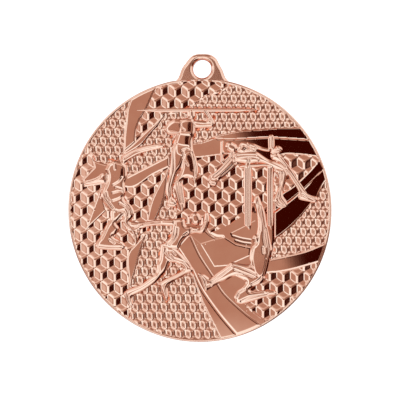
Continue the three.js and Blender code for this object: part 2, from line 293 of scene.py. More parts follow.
@dataclass(frozen=True)
class Mesher:
    """Cuts a flat triangle sheet to an outline."""

    step_a: tuple[float, float]
    step_b: tuple[float, float]
    origin: tuple[float, float] = (0.0, 0.0)
    levels: tuple[float, ...] = (0.0,)
    probe: float = 1e-3
    on_outline: float = 2e-3

    @classmethod
    def even(cls, size: float, levels: tuple[float, ...] = (0.0,)) -> "Mesher":
        """A sheet of equal triangles.

        Args:
            size: length of a triangle's side in millimetres.
            levels: depths at which rows of vertices follow the outline.

        Returns:
            The mesher.
        """
        return cls((size, 0.0), (-size / 2, size * math.sqrt(0.75)), (0.0, 0.0), levels)

    def sheet(self, low: Array, high: Array) -> tuple[Array, Array]:
        """The uncut sheet over a box.

        Args:
            low: lowest corner.
            high: highest corner.

        Returns:
            Vertices, N by 2, and triangles, M by 3.
        """
        basis = np.array([self.step_a, self.step_b])
        corners = np.array([[x, z] for x in (low[0], high[0]) for z in (low[1], high[1])]) - self.origin
        steps = corners @ np.linalg.inv(basis)
        first, last = np.floor(steps.min(0)).astype(int) - 1, np.ceil(steps.max(0)).astype(int) + 1
        i, j = np.meshgrid(np.arange(first[0], last[0] + 1), np.arange(first[1], last[1] + 1))
        points = np.stack([i.ravel(), j.ravel()], 1) @ basis + self.origin
        wide = i.shape[1]
        at = np.arange(i.size).reshape(i.shape)[:-1, :-1].ravel()
        triangles = np.vstack(
            [np.stack([at, at + 1, at + wide + 1], 1), np.stack([at, at + wide + 1, at + wide], 1)]
        )
        reach = max(np.hypot(*self.step_a), np.hypot(*self.step_b)) * 1.5
        near = ((points > low - reach) & (points < high + reach)).all(1)
        triangles = triangles[near[triangles].all(1)]
        used, again = np.unique(triangles, return_inverse=True)
        return points[used], again.reshape(-1, 3)

    def cut(self, depth: Depth, low: Array, high: Array) -> tuple[Array, Array, Array]:
        """The sheet trimmed to where depth is positive.

        Args:
            depth: distance inside the outline.
            low: lowest corner of the outline.
            high: highest corner of the outline.

        Returns:
            Vertices, triangles and the depth at each vertex.
        """
        points, triangles = self.sheet(np.asarray(low), np.asarray(high))
        inside = depth(points)
        reach = 0.5 * np.hypot(*self.step_a)
        # Vertices near a level move onto it, so that edges and bevels follow rows of vertices.
        for level in self.levels:
            close = np.abs(inside - level) < reach * (1.0 if level else 0.7)
            for _ in range(2):
                some = points[close]
                steps = self.probe * np.eye(2)
                slope = np.stack([depth(some + e) - depth(some - e) for e in steps], 1) / (2 * self.probe)
                size = np.maximum((slope**2).sum(1), 0.25)
                points[close] = some + slope * ((level - depth(some)) / size)[:, None]
            inside[close] = depth(points[close])
        inside[np.abs(inside) < self.on_outline] = 0.0
        return trim(points, triangles, inside)


def trim(points: Array, triangles: Array, inside: Array) -> tuple[Array, Array, Array]:
    """Keeps the part of a triangle sheet where inside is positive.

    Args:
        points: vertices, N by 2.
        triangles: vertex numbers, M by 3.
        inside: one value per vertex.

    Returns:
        The trimmed vertices, triangles and values.
    """
    sign = np.sign(inside).astype(int)[triangles]
    kept = [triangles[(sign.min(1) >= 0) & (sign.max(1) > 0)]]
    mixed = triangles[(sign.min(1) < 0) & (sign.max(1) > 0)]
    count = len(points)
    pairs = np.vstack([mixed[:, [0, 1]], mixed[:, [1, 2]], mixed[:, [2, 0]]])
    pairs = np.sort(pairs[inside[pairs[:, 0]] * inside[pairs[:, 1]] < 0], axis=1)
    keys = np.unique(pairs[:, 0] * count + pairs[:, 1])
    a, b = keys // count, keys % count
    t = (inside[a] / (inside[a] - inside[b]))[:, None]
    points = np.vstack([points, points[a] * (1 - t) + points[b] * t])
    values = np.concatenate([inside, np.zeros(len(keys))])

    def middle(p: Array, q: Array) -> Array:
        """Numbers of the new vertices between two rows of old ones."""
        return count + np.searchsorted(keys, np.minimum(p, q) * count + np.maximum(p, q))

    for turn in range(3):
        v = np.roll(mixed, turn, axis=1)
        s = np.sign(inside).astype(int)[v]
        one = v[(s == (1, -1, -1)).all(1)]
        kept.append(np.stack([one[:, 0], middle(one[:, 0], one[:, 1]), middle(one[:, 0], one[:, 2])], 1))
        two = v[(s == (1, 1, -1)).all(1)]
        bc, ca = middle(two[:, 1], two[:, 2]), middle(two[:, 0], two[:, 2])
        kept.append(np.stack([two[:, 0], two[:, 1], bc], 1))
        kept.append(np.stack([two[:, 0], bc, ca], 1))
        near = v[(s == (1, -1, 0)).all(1)]
        kept.append(np.stack([near[:, 0], middle(near[:, 0], near[:, 1]), near[:, 2]], 1))
        far = v[(s == (1, 0, -1)).all(1)]
        kept.append(np.stack([far[:, 0], far[:, 1], middle(far[:, 0], far[:, 2])], 1))
    whole = np.vstack(kept)
    used, again = np.unique(whole, return_inverse=True)
    return points[used], again.reshape(-1, 3), values[used]


@dataclass(frozen=True)
class Seat:
    """Where the medal lies in the part's frame."""

    x: float
    z: float

    @classmethod
    def of(cls, node: str) -> "Seat":
        """Reads the place of the round blank.

        Args:
            node: the blank's name in the frame.

        Returns:
            The seat, in metres.
        """
        low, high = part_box(node)
        radius = (high.x - low.x) / 2
        return cls((low.x + high.x) / 2, low.z + radius)

    def place(self, flat: Array, depth: Array) -> Array:
        """Turns millimetres on the medal's face into the part's frame.

        Args:
            flat: x to the right and z up from the disc's centre, N by 2.
            depth: y in millimetres, N.

        Returns:
            N by 3 coordinates in metres.
        """
        return np.stack([self.x + flat[:, 0] * MM, depth * MM, self.z + flat[:, 1] * MM], 1)


def mesh_object(name: str, vertices: Array, triangles: Array) -> bpy.types.Object:
    """A mesh object from arrays.

    Args:
        name: the object's name.
        vertices: N by 3.
        triangles: M by 3.

    Returns:
        The linked object.
    """
    mesh = bpy.data.meshes.new(name)
    mesh.vertices.add(len(vertices))
    mesh.vertices.foreach_set("co", vertices.astype(np.float32).ravel())
    mesh.loops.add(triangles.size)
    mesh.loops.foreach_set("vertex_index", triangles.astype(np.int32).ravel())
    mesh.polygons.add(len(triangles))
    mesh.polygons.foreach_set("loop_start", np.arange(0, triangles.size, 3, dtype=np.int32))
    mesh.polygons.foreach_set("loop_total", np.full(len(triangles), 3, np.int32))
    mesh.update(calc_edges=True)
    mesh.validate()
    made = bpy.data.objects.new(name, mesh)
    bpy.context.scene.collection.objects.link(made)
    return made


def slab(
    name: str, seat: Seat, flat: Array, triangles: Array, front: Array, back: Array | float = PLATE_BACK
) -> bpy.types.Object:
    """A closed solid between two surfaces over one cut sheet.

    Args:
        name: the object's name.
        seat: where the medal lies.
        flat: the sheet's vertices, N by 2.
        triangles: the sheet's triangles.
        front: y of the front surface in millimetres.
        back: y of the back surface in millimetres.

    Returns:
        The object.
    """
    count = len(flat)
    vertices = np.vstack([seat.place(flat, front), seat.place(flat, np.broadcast_to(back, count))])
    directed = np.vstack([triangles[:, [0, 1]], triangles[:, [1, 2]], triangles[:, [2, 0]]])
    key, opposite = directed[:, 0] * count + directed[:, 1], directed[:, 1] * count + directed[:, 0]
    a, b = directed[~np.isin(key, opposite)].T
    walls = np.vstack([np.stack([b, a, a + count], 1), np.stack([b, a + count, b + count], 1)])
    return mesh_object(name, vertices, np.vstack([triangles, triangles[:, ::-1] + count, walls]))


def finish_shading(piece: bpy.types.Object, angle: float = 50.0) -> None:
    """Smooth shading that keeps real corners.

    Args:
        piece: the mesh object.
        angle: corners sharper than this stay sharp, in degrees.
    """
    piece.data.shade_smooth()
    piece.data.set_sharp_from_angle(angle=math.radians(angle))


def rounded(depth: Array, width: float) -> Array:
    """Share of full height reached at a depth inside an edge.

    Args:
        depth: distance inside the outline.
        width: distance over which the edge rises.

    Returns:
        Values from 0 to 1.
    """
    return 1 - (1 - np.clip(depth / width, 0, 1)) ** 2


# ---------------------------------------------------------------- finishes


@dataclass(frozen=True)
class Plating:
    """Bright copper plating on struck metal.

    It gives the eye a warm pink mirror, with a faint haze in clouds where buffing left it duller.
    """

    name: str
    colour: str = "F9A683"
    worn: str = "F39B79"
    roughness: float = 0.09
    haze: float = 0.05
    cloud_mm: float = 3.5
    cloud_range: tuple[float, float] = (0.35, 0.7)
    grain: float = 0.25
    grain_mm: float = 0.12
    grain_depth_mm: float = 0.004
    scratch: float = 0.12
    scratch_mm: float = 0.16
    scratch_depth_mm: float = 0.006
    scratch_turn: tuple[float, float, float] = (0.0, 0.5, 0.0)
    scratch_stretch: tuple[float, float, float] = (1.0, 1.0, 0.06)

    @staticmethod
    def noise(tree: Tree, place: Socket, size_mm: float, detail: float = 2.0) -> Socket:
        """Noise with spots of a size in millimetres.

        Args:
            tree: the tree to add to.
            place: where to look it up.
            size_mm: rough size of a spot.
            detail: how many finer layers it has.

        Returns:
            The noise, from 0 to 1.
        """
        scale = 1 / (size_mm * MM)
        return tree.add("ShaderNodeTexNoise", None, Vector=place, Scale=scale, Detail=detail).outputs[0]

    @staticmethod
    def bump(tree: Tree, height: Socket, strength: float, depth_mm: float, **under: Socket) -> Socket:
        """Bends the surface by a height.

        Args:
            tree: the tree to add to.
            height: the height, from 0 to 1.
            strength: how much of it shows.
            depth_mm: size of a full step.
            under: the Normal that it adds to, where there is one.

        Returns:
            The bent normal.
        """
        values = {"Strength": strength, "Distance": depth_mm * MM, "Height": height}
        return tree.add("ShaderNodeBump", None, **values, **under).outputs[0]

    def material(self) -> bpy.types.Material:
        """The finish as a material.

        Returns:
            The material.
        """
        made = bpy.data.materials.new(self.name)
        made.use_nodes = True
        made.node_tree.nodes.clear()
        tree = Tree(made.node_tree)
        place = tree.add("ShaderNodeTexCoord").outputs["Object"]
        haze = tree.share(self.noise(tree, place, self.cloud_mm, 3.0), *self.cloud_range)
        tone = tree.add(
            "ShaderNodeMix", {"data_type": "RGBA"}, _0=haze, _6=srgb(self.colour), _7=srgb(self.worn)
        ).outputs[2]
        rough = tree.math("MULTIPLY_ADD", haze, self.haze, self.roughness)
        grain = self.bump(tree, self.noise(tree, place, self.grain_mm), self.grain, self.grain_depth_mm)
        along = tree.add(
            "ShaderNodeMapping", None, Vector=place, Rotation=self.scratch_turn, Scale=self.scratch_stretch
        ).outputs[0]
        lines = self.noise(tree, along, self.scratch_mm)
        normal = self.bump(tree, lines, self.scratch, self.scratch_depth_mm, Normal=grain)
        shader = tree.add(
            "ShaderNodeBsdfPrincipled", None, Base_Color=tone, Metallic=1.0, Roughness=rough, Normal=normal
        )
        tree.add("ShaderNodeOutputMaterial", None, Surface=shader.outputs[0])
        return made


class Finish(Enum):
    """The medal's finishes: one plating over surfaces that are smoothed to different degrees."""

    # Tumbled metal under the plating: a soft, slightly grainy sheen on edge, loop and reverse.
    BLANK = Plating(
        "copper_plate_tumbled_blank", worn="F6A17F", roughness=0.15, haze=0.02, cloud_mm=6.0, grain=0.4
    )
    # Coarse blocks keep the die's polish: each facet is one clear tone with a crisp edge.
    GROUND = Plating("copper_plate_struck_ground", roughness=0.1, haze=0.03, grain=0.15, scratch=0.05)
    # Fine blocks are reached less by the mop: their sparkle is softer.
    FINE = Plating("copper_plate_fine_ground", roughness=0.13, haze=0.04, grain=0.15, scratch=0.05)
    # Ribbons and lanes are polished flat: near mirrors, plain copper or almost black.
    FIELD = Plating("copper_plate_polished_ribbon", roughness=0.02, haze=0.02, grain=0.05, scratch=0.03)
    # Figures stand proud and take the most buffing: smooth bodies with bright lines along folds.
    RELIEF = Plating("copper_plate_polished_relief", roughness=0.07, haze=0.03, grain=0.1, scratch=0.06)


# ---------------------------------------------------------------- the medal


@dataclass
class Shop:
    """Where pieces are made, dressed and reported."""

    seat: Seat
    dressed: dict[str, bpy.types.Material] = field(default_factory=dict)

    def finish(self, choice: Finish) -> bpy.types.Material:
        """The material of a finish, made once."""
        if choice.name not in self.dressed:
            self.dressed[choice.name] = choice.value.material()
        return self.dressed[choice.name]

    def hand_over(self, piece: bpy.types.Object, node: str, choice: Finish | None) -> None:
        """Dresses a piece and puts it in its node's place.

        Args:
            piece: the finished piece.
            node: the CAD node that it stands for.
            choice: its finish, or None where its tree has set one.
        """
        if choice is not None:
            piece.data.materials.clear()
            piece.data.materials.append(self.finish(choice))
        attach(piece, "root")
        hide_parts(node)
        LOG.info("%s: %d faces", piece.name, len(piece.data.polygons))


@dataclass
class Blank:
    """The round blank with its border ring and the label field on its reverse."""

    radius: float = 25.0
    edge: float = 0.35
    front: float = -1.0
    back: float = 1.0
    ring: tuple[float, float] = (24.5, 24.94)
    ring_foot: float = -1.5
    ring_rise: float = 0.1
    ring_drop: float = 0.12
    field_radius: float = 22.0
    field_depth: float = 0.25
    field_slope: float = 0.35
    chord: float = 24.5
    steps: int = 256
    ring_steps: int = 11
    arc_steps: int = 6
    sharp_angle: float = 40.0

    def profile(self) -> Array:
        """The half section, from the obverse's centre to the reverse's.

        Returns:
            Radius and y of its points.
        """
        inner, outer = self.ring
        turn = np.linspace(0, math.pi / 2, self.arc_steps)
        across = np.linspace(-1, 1, self.ring_steps)
        middle, half = (inner + outer) / 2, (outer - inner) / 2
        ring = np.stack([middle + half * across, self.ring_foot + self.ring_rise * (across**2 - 1)], 1)
        shoulder = [self.radius, self.ring_foot + self.ring_drop]
        round_x = self.radius - self.edge + self.edge * np.sin(turn)
        round_y = self.back - self.edge + self.edge * np.cos(turn)
        rim = np.stack([round_x, round_y], 1)[::-1]
        well = self.field_radius + self.field_slope * (1 - np.cos(turn))
        rise = self.back - self.field_depth * (1 - np.sin(turn))
        label = np.stack([well, rise], 1)[::-1]
        return np.vstack([[0, self.front], [inner, self.front], ring, shoulder, rim, label, [0, rise[0]]])

    def build(self, shop: Shop) -> None:
        """Turns the profile and trims its top.

        Args:
            shop: where it is made.
        """
        section = self.profile()
        angle = np.arange(self.steps) * 2 * math.pi / self.steps
        rings = section[1:-1]
        flat = np.stack([np.outer(rings[:, 0], np.cos(angle)), np.outer(rings[:, 0], np.sin(angle))], 2)
        flat[..., 1] = np.minimum(flat[..., 1], self.chord)
        y = np.repeat(rings[:, 1], self.steps)
        vertices = shop.seat.place(flat.reshape(-1, 2), y)
        poles = shop.seat.place(np.zeros((2, 2)), section[[0, -1], 1])
        vertices = np.vstack([vertices, poles])
        near, far = len(vertices) - 2, len(vertices) - 1
        k = np.arange(self.steps)
        n = (k + 1) % self.steps
        last = (len(rings) - 1) * self.steps
        faces = [np.stack([np.full(self.steps, near), k, n], 1)]
        faces += [np.stack([np.full(self.steps, far), last + n, last + k], 1)]
        for r in range(len(rings) - 1):
            a, b = r * self.steps, (r + 1) * self.steps
            faces += [np.stack([a + k, b + k, b + n], 1), np.stack([a + k, b + n, a + n], 1)]
        piece = mesh_object("medal_blank_plated", vertices, np.vstack(faces))
        finish_shading(piece, self.sharp_angle)
        shop.hand_over(piece, "medal_blank", Finish.BLANK)


@dataclass
class Loop:
    """The flat ear that the medal hangs from, with its round eye."""

    eye: tuple[float, float] = (0.55, 26.8)
    eye_radius: float = 1.75
    chord: float = 24.5
    back: float = 1.0
    front: float = -1.3
    bevel: float = 0.6
    sink: float = 0.38
    tuck: float = 0.9
    size: float = 0.11
    corners: Line = ((-6.0, 24.0), (6.0, 29.7))
    side: Line = (
        (-4.9, 24.0), (-3.9, 25.2), (-3.5, 26.3), (-3.15, 27.1), (-2.6, 27.8), (-2.0, 28.6),
        (-1.25, 29.3), (-0.5, 29.56), (0.55, 29.6), (1.6, 29.56), (2.45, 29.3), (3.3, 28.6),
        (3.7, 27.8), (4.1, 27.1), (4.5, 26.3), (4.9, 25.2), (5.9, 24.0),
    )

    def depth(self, points: Array) -> Array:
        """Distance inside the ear and outside its eye.

        Args:
            points: places to measure, N by 2.

        Returns:
            N depths in millimetres.
        """
        ear = polygon_depth(points, curve_through(self.side, step=0.4))
        hole = np.hypot(points[:, 0] - self.eye[0], points[:, 1] - self.eye[1]) - self.eye_radius
        return np.minimum(np.minimum(ear, hole), self.tuck + points[:, 1] - self.chord)

    def build(self, shop: Shop) -> None:
        """Cuts the ear and rounds both its faces.

        Args:
            shop: where it is made.
        """
        cut = Mesher.even(self.size, (0.0, self.bevel / 2))
        flat, triangles, inside = cut.cut(self.depth, *self.corners)
        fall = self.sink * (1 - rounded(inside, self.bevel))
        piece = slab("hanging_loop_plated", shop.seat, flat, triangles, self.front + fall, self.back - fall)
        finish_shading(piece)
        shop.hand_over(piece, "hanging_loop", Finish.BLANK)


class Borders:
    """Border lines between the grounds and the smooth bands, from the disc's centre in millimetres.

    The lines that cornered names keep their corners, and the others are smooth curves.
    """

    sweep_left = (
        (-12.6, 23.5), (-13.0, 20.9), (-13.6, 19.3), (-13.9, 16.6), (-14.2, 14.0), (-14.3, 11.2),
    )
    sweep_right = ((-7.3, 25.2), (-9.9, 19.3), (-11.0, 17.6), (-11.85, 15.4), (-12.1, 13.0))
    diagonal_top = ((-14.3, 11.2), (-12.9, 12.3), (-12.1, 13.0), (-9.9, 15.1), (-6.4, 18.3))
    diagonal_under = (
        (-6.4, 18.3), (-7.4, 16.6), (-9.4, 14.3), (-10.5, 12.9), (-11.6, 12.0), (-14.2, 10.4),
    )
    top_seam = ((-6.4, 18.3), (-2.5, 19.3), (0.6, 21.4), (5.2, 23.3), (5.9, 25.9))
    wedge_top = ((2.6, 13.6), (4, 14.2), (8, 15.0), (11, 15.2), (15, 15.5), (19.2, 15.6), (22.3, 15.9))
    wedge_under = (
        (2.6, 13.6), (5.5, 13.4), (8, 13.5), (13, 13.75), (16, 13.6), (20.5, 13.3), (23.4, 13.1),
    )
    broad_top = ((-2.3, 12.5), (-0.7, 12.7), (1, 13.0), (2.6, 13.6))
    broad_under = ((-2.3, 10.2), (-0.4, 9.95), (4.2, 10.5), (6.3, 10.6), (9, 10.2), (14.2, 8.2))
    broad_right = ((14.2, 8.2), (15.5, 10.4), (19, 10.5), (22.3, 10.1), (24.8, 9.9))
    left_seam = ((-23.2, 14.9), (-21.2, 12.3), (-20.3, 9.5))
    left_notch = ((-20.3, 9.5), (-20.0, 8.1), (-22.2, 5.9), (-21.9, 4.4))
    band_top = ((-17.0, 9.6), (-14.2, 9.0), (-13.6, 6.3), (-5.7, 10.3))
    band_under = ((-16.6, 5.2), (-12.7, 4.3), (-8.8, 6.7), (-5.6, 8.25))
    steep_left = ((-5.6, 8.25), (-8, 4), (-9.2, 1.2), (-10, -2.2))
    steep_right = ((-5.6, 8.25), (-6.0, 6), (-6.6, 2.2), (-8.4, -2.2))
    leg_seam = ((-4.9, 8.2), (-4.4, 0.4), (-4.2, -2.2))
    narrow_left = ((-9.9, -4.2), (-12.2, -6.6), (-13.7, -9), (-13.2, -15))
    narrow_right = ((-9.9, -4.2), (-11.1, -7.5), (-12, -11), (-13.2, -15))
    low_seam = ((-13.2, -15), (-13.3, -20.8), (-14.1, -23.6))
    middle_top = (
        (-4.2, -2.2), (1.0, -3.2), (2.3, -4.2), (4.5, -3.2), (6, -2.6), (7.2, -1.7), (10.4, -0.3),
        (14.2, -0.4),
    )
    rising_top = ((14.2, 1.9), (16, 3.4), (18, 4.7), (21, 7.5), (22.9, 9.5), (24.8, 9.9))
    rising_mid = ((14.2, -0.4), (16.5, 1.3), (18.5, 2.9), (20, 4.2), (21.8, 6), (23.5, 7.9), (25.4, 9.2))
    rising_under = (
        (14.2, -5.5), (16, -4.2), (18, -2.4), (20, -0.2), (22.3, 3.0), (23.7, 5.4), (25.8, 7.4),
    )
    turn_top = ((13.6, -9.2), (16, -8.7), (20, -7.7), (23.5, -6.3), (26.2, -5.4))
    turn_under = ((11.5, -12.5), (12.9, -11.9), (15, -11.7), (18, -11.1), (22.8, -9.7), (25.4, -8.8))
    track_left = (
        (-2, -4.6), (-4.2, -7), (-1.3, -11.4), (-0.36, -14.7), (0.6, -17.4), (2.5, -21.2), (4.9, -26),
    )
    lane_one = ((-1.3, -11.4), (-0.1, -14), (1.2, -16.2), (4, -20), (7.1, -23.6), (8.9, -25.7))
    lane_two = (
        (-1.4, -4.9), (0.3, -8.5), (2.9, -12.5), (5, -15.8), (9, -19.5), (11.6, -21.4), (13.5, -23),
    )
    track_right = (
        (11, -9), (11.5, -12.5), (9.2, -14.8), (9.1, -17.8), (11, -19.5), (13, -21), (14.8, -22.4),
    )
    panel = (
        (0.3, -6.4), (3.1, -5.5), (5.0, -5.2), (7, -6.5), (9.8, -7.1), (9.6, -8.6), (5.4, -10.5),
        (2.9, -10.7),
    )
    flag = ((-18.8, 4.2), (-21.8, -4.0), (-17.7, -0.1))
    cornered = ("left_notch", "band_top", "track_left", "panel", "flag")

    @classmethod
    def line(cls, name: str, back: bool = False) -> Array:
        """One border line, smooth unless it has corners.

        Args:
            name: the line's name.
            back: walk it from its end.

        Returns:
            Its points.
        """
        points = getattr(cls, name)
        found = np.array(points, float) if name in cls.cornered else curve_through(points)
        return found[::-1] if back else found

    @classmethod
    def ring(cls, *steps: str | Line) -> Array:
        """A closed outline from named lines and points.

        Args:
            steps: line names, with a minus sign to walk one from its end, or lists of points.

        Returns:
            The outline.
        """
        named = [cls.line(s.lstrip("-"), s[0] == "-") if isinstance(s, str) else s for s in steps]
        return ring_of(*named)


@dataclass
class BlockTree:
    """A Geometry Nodes tree that presses a sheet of cube corners into a slab's front.

    Each cube corner is the largest of three slopes round its own peak, and the sheet is the smallest of
    the corners next to a place: four peaks at the corners of a cell, and four half a cell away.
    """

    SIZES = ("Pitch", "Row", "Tilt", "Slope", "Ridge", "Valley", "Level", "Edge Width", "Edge Level")

    seat: Seat
    peaks: int = 8
    divide: float = -0.8

    def own_axis(self, tree: Tree, place: Value, shift: Value, length: Value, far: float) -> Socket:
        """Distance along one axis from the peak of a repeated cell.

        Args:
            tree: the tree to add to.
            place: where to look.
            shift: how far the cells are shifted.
            length: length of a cell.
            far: 1 for the peak at the cell's far end, 0 for the near one.

        Returns:
            The distance.
        """
        inside = tree.math("FLOORED_MODULO", tree.math("SUBTRACT", place, shift), length)
        return tree.math("SUBTRACT", inside, tree.math("MULTIPLY", length, far))

    def cubes(self, tree: Tree, given: bpy.types.bpy_prop_collection, x: Socket, z: Socket) -> Socket:
        """Depth of the sheet of cube corners.

        Args:
            tree: the tree to add to.
            given: the group's inputs.
            x: millimetres to the right of a peak.
            z: millimetres above it.

        Returns:
            The depth, before it is scaled by the slope.
        """
        regular = tree.math("MULTIPLY", given["Pitch"], math.sqrt(0.75))
        level = tree.math("SUBTRACT", z, tree.math("MULTIPLY", x, given["Tilt"]))
        level = tree.math("MULTIPLY", level, tree.math("DIVIDE", regular, given["Row"]))
        double = tree.math("MULTIPLY", regular, 2.0)
        nearest = None
        for number in range(self.peaks):
            shifted, right, up = number // 4, number % 2, number // 2 % 2
            half = tree.math("MULTIPLY", given["Pitch"], 0.5 * shifted)
            own_x = self.own_axis(tree, x, half, given["Pitch"], float(right))
            row = tree.math("MULTIPLY", regular, float(shifted))
            own_z = self.own_axis(tree, level, row, double, float(up))
            fall = tree.math("MULTIPLY", own_z, -0.5)
            side = tree.math("MULTIPLY", own_x, math.sqrt(0.75))
            sides = tree.math("ADD", fall, side), tree.math("SUBTRACT", fall, side)
            corner = tree.math("SMOOTH_MAX", *sides, given["Ridge"])
            corner = tree.math("SMOOTH_MAX", corner, own_z, given["Ridge"])
            nearest = corner if nearest is None else tree.math("SMOOTH_MIN", nearest, corner, given["Valley"])
        return nearest

    def build(self) -> bpy.types.NodeTree:
        """Makes the tree.

        Returns:
            The node group.
        """
        group = bpy.data.node_groups.new("block_relief", "GeometryNodeTree")
        face = group.interface
        face.new_socket("Geometry", in_out="INPUT", socket_type="NodeSocketGeometry")
        for name in (*self.SIZES, "Peak X", "Peak Z"):
            face.new_socket(name, in_out="INPUT", socket_type="NodeSocketFloat")
        face.new_socket("Finish", in_out="INPUT", socket_type="NodeSocketMaterial")
        face.new_socket("Geometry", in_out="OUTPUT", socket_type="NodeSocketGeometry")
        tree = Tree(group)
        given = tree.add("NodeGroupInput").outputs
        place = tree.add("GeometryNodeInputPosition").outputs[0]
        split = tree.add("ShaderNodeSeparateXYZ", None, Vector=place).outputs
        x = tree.math("DIVIDE", tree.math("SUBTRACT", split[0], self.seat.x), MM)
        z = tree.math("DIVIDE", tree.math("SUBTRACT", split[2], self.seat.z), MM)
        x = tree.math("SUBTRACT", x, given["Peak X"])
        z = tree.math("SUBTRACT", z, given["Peak Z"])
        y = tree.math("MULTIPLY_ADD", self.cubes(tree, given, x, z), given["Slope"], given["Level"])
        inside = tree.add("GeometryNodeInputNamedAttribute", {"data_type": "FLOAT"}, Name="inside").outputs[0]
        inner = tree.math("MINIMUM", tree.math("DIVIDE", inside, given["Edge Width"]), 1.0)
        outer = tree.math("SUBTRACT", 1.0, inner)
        share = tree.math("MULTIPLY", outer, outer)
        y = tree.math("MULTIPLY_ADD", share, tree.math("SUBTRACT", given["Edge Level"], y), y)
        y = tree.math("MULTIPLY", y, MM)
        target = tree.add("ShaderNodeCombineXYZ", None, _0=split[0], _1=y, _2=split[2]).outputs[0]
        front = tree.math("LESS_THAN", split[1], self.divide * MM)
        moved = tree.add(
            "GeometryNodeSetPosition", None, Geometry=given["Geometry"], Selection=front, Position=target
        )
        whole = tree.add("GeometryNodeRealizeInstances", None, Geometry=moved.outputs[0]).outputs[0]
        dressed = tree.add("GeometryNodeSetMaterial", None, Geometry=whole, Material=given["Finish"])
        tree.add("NodeGroupOutput", None, _0=dressed.outputs[0])
        return group


@dataclass(frozen=True)
class Blocks:
    """One size of cube-corner texture, in millimetres."""

    pitch: float
    row: float
    level: float
    ridge: float
    valley: float
    tilt: float = 0.0
    slope: float = 0.36
    cells: int = 10
    grow: float = 0.35
    edge_width: float = 0.5
    edge_level: float = -1.58
    finish: Finish = Finish.GROUND

    def step(self) -> tuple[tuple[float, float], tuple[float, float]]:
        """The two sides of a sheet triangle, so that sheet edges run along the cubes' edges.

        Returns:
            Each side as a step in x and z.
        """
        third = self.row / 3
        lean = self.tilt * self.pitch / 2
        return (
            (self.pitch / 2 / self.cells, (third + lean) / self.cells),
            (-self.pitch / 2 / self.cells, (third - lean) / self.cells),
        )


COARSE = Blocks(pitch=2.57, row=2.39, tilt=-0.073, level=-1.8, ridge=0.85, valley=0.16)
COARSE_PEAK = (1.86, 5.7)  # one peak of the coarse sheet, which all its grounds share
FINE = Blocks(
    pitch=1.83, row=1.69, level=-1.75, ridge=0.8, valley=0.7, slope=0.66, cells=8, grow=0.12,
    edge_width=0.3, finish=Finish.FINE,
)


@dataclass
class Ground:
    """A textured ground between border lines."""

    node: str
    blocks: Blocks
    peak: tuple[float, float]
    outline: Array
    sheet_front: float = -1.5
    sharp_angle: float = 60.0

    def depth(self, points: Array) -> Array:
        """Distance inside the ground, with its margin under the neighbours."""
        own = polygon_depth(points, self.outline) + self.blocks.grow
        return np.minimum(own, RIM - np.hypot(points[:, 0], points[:, 1]))

    def build(self, shop: Shop, relief: bpy.types.NodeTree) -> None:
        """Cuts the ground's slab and presses the blocks into it.

        Args:
            shop: where it is made.
            relief: the block tree.
        """
        cut = Mesher(*self.blocks.step(), self.peak)
        flat, triangles, inside = cut.cut(self.depth, *box_of(self.outline))
        front = np.full(len(flat), self.sheet_front)
        made = slab(self.node + "_blank", shop.seat, flat, triangles, front)
        attribute = made.data.attributes.new("inside", "FLOAT", "POINT")
        attribute.data.foreach_set("value", np.concatenate([inside, inside]).astype(np.float32))
        modifier = made.modifiers.new("blocks", "NODES")
        modifier.node_group = relief
        values = {"Peak X": self.peak[0], "Peak Z": self.peak[1], "Finish": shop.finish(self.blocks.finish)}
        for name in BlockTree.SIZES:
            values[name] = getattr(self.blocks, name.lower().replace(" ", "_"))
        for item in relief.interface.items_tree:
            if item.in_out == "INPUT" and item.name in values:
                modifier[item.identifier] = values[item.name]
        mesh = bpy.data.meshes.new_from_object(made.evaluated_get(bpy.context.evaluated_depsgraph_get()))
        mesh.name = self.node + "_plated"
        old = made.data
        made.modifiers.clear()
        made.data = mesh
        made.name = mesh.name
        bpy.data.meshes.remove(old)
        finish_shading(made, self.sharp_angle)
        shop.hand_over(made, self.node, None)


@dataclass(frozen=True)
class Crease:
    """A groove along a line, or a ridge where its depth is negative."""

    line: Line
    depth: float
    width: float

    def cut(self, points: Array) -> Array:
        """How far it lowers each point.

        Args:
            points: places to measure, N by 2.

        Returns:
            N depths in millimetres.
        """
        path = curve_through(self.line, step=0.3)
        nearest = np.min([segment_distance(points, a, b) for a, b in zip(path, path[1:])], axis=0)
        return self.depth * np.exp(-((nearest / self.width) ** 2))


@dataclass
class Smooth:
    """A smooth band, lane or panel with softly rounded edges."""

    node: str
    outline: Array
    level: float = -1.7
    width: float = 0.32
    foot: float = -1.6
    lean: tuple[float, float] = (0.0, 0.0)
    creases: tuple[Crease, ...] = ()
    size: float = 0.13
    fade: float = 0.3

    def depth(self, points: Array) -> Array:
        """Distance inside the band."""
        own = polygon_depth(points, self.outline)
        return np.minimum(own, RIM - np.hypot(points[:, 0], points[:, 1]))

    def build(self, shop: Shop) -> None:
        """Cuts the band and rounds its edge.

        Args:
            shop: where it is made.
        """
        cut = Mesher.even(self.size, (0.0, self.width))
        flat, triangles, inside = cut.cut(self.depth, *box_of(self.outline))
        top = self.level + (flat - flat.mean(0)) @ np.array(self.lean)
        front = self.foot + (top - self.foot) * rounded(inside, self.width)
        for crease in self.creases:
            front = front + crease.cut(flat) * rounded(inside, self.fade)
        piece = slab(self.node + "_plated", shop.seat, flat, triangles, front)
        finish_shading(piece)
        shop.hand_over(piece, self.node, Finish.FIELD)


# ---------------------------------------------------------------- figures


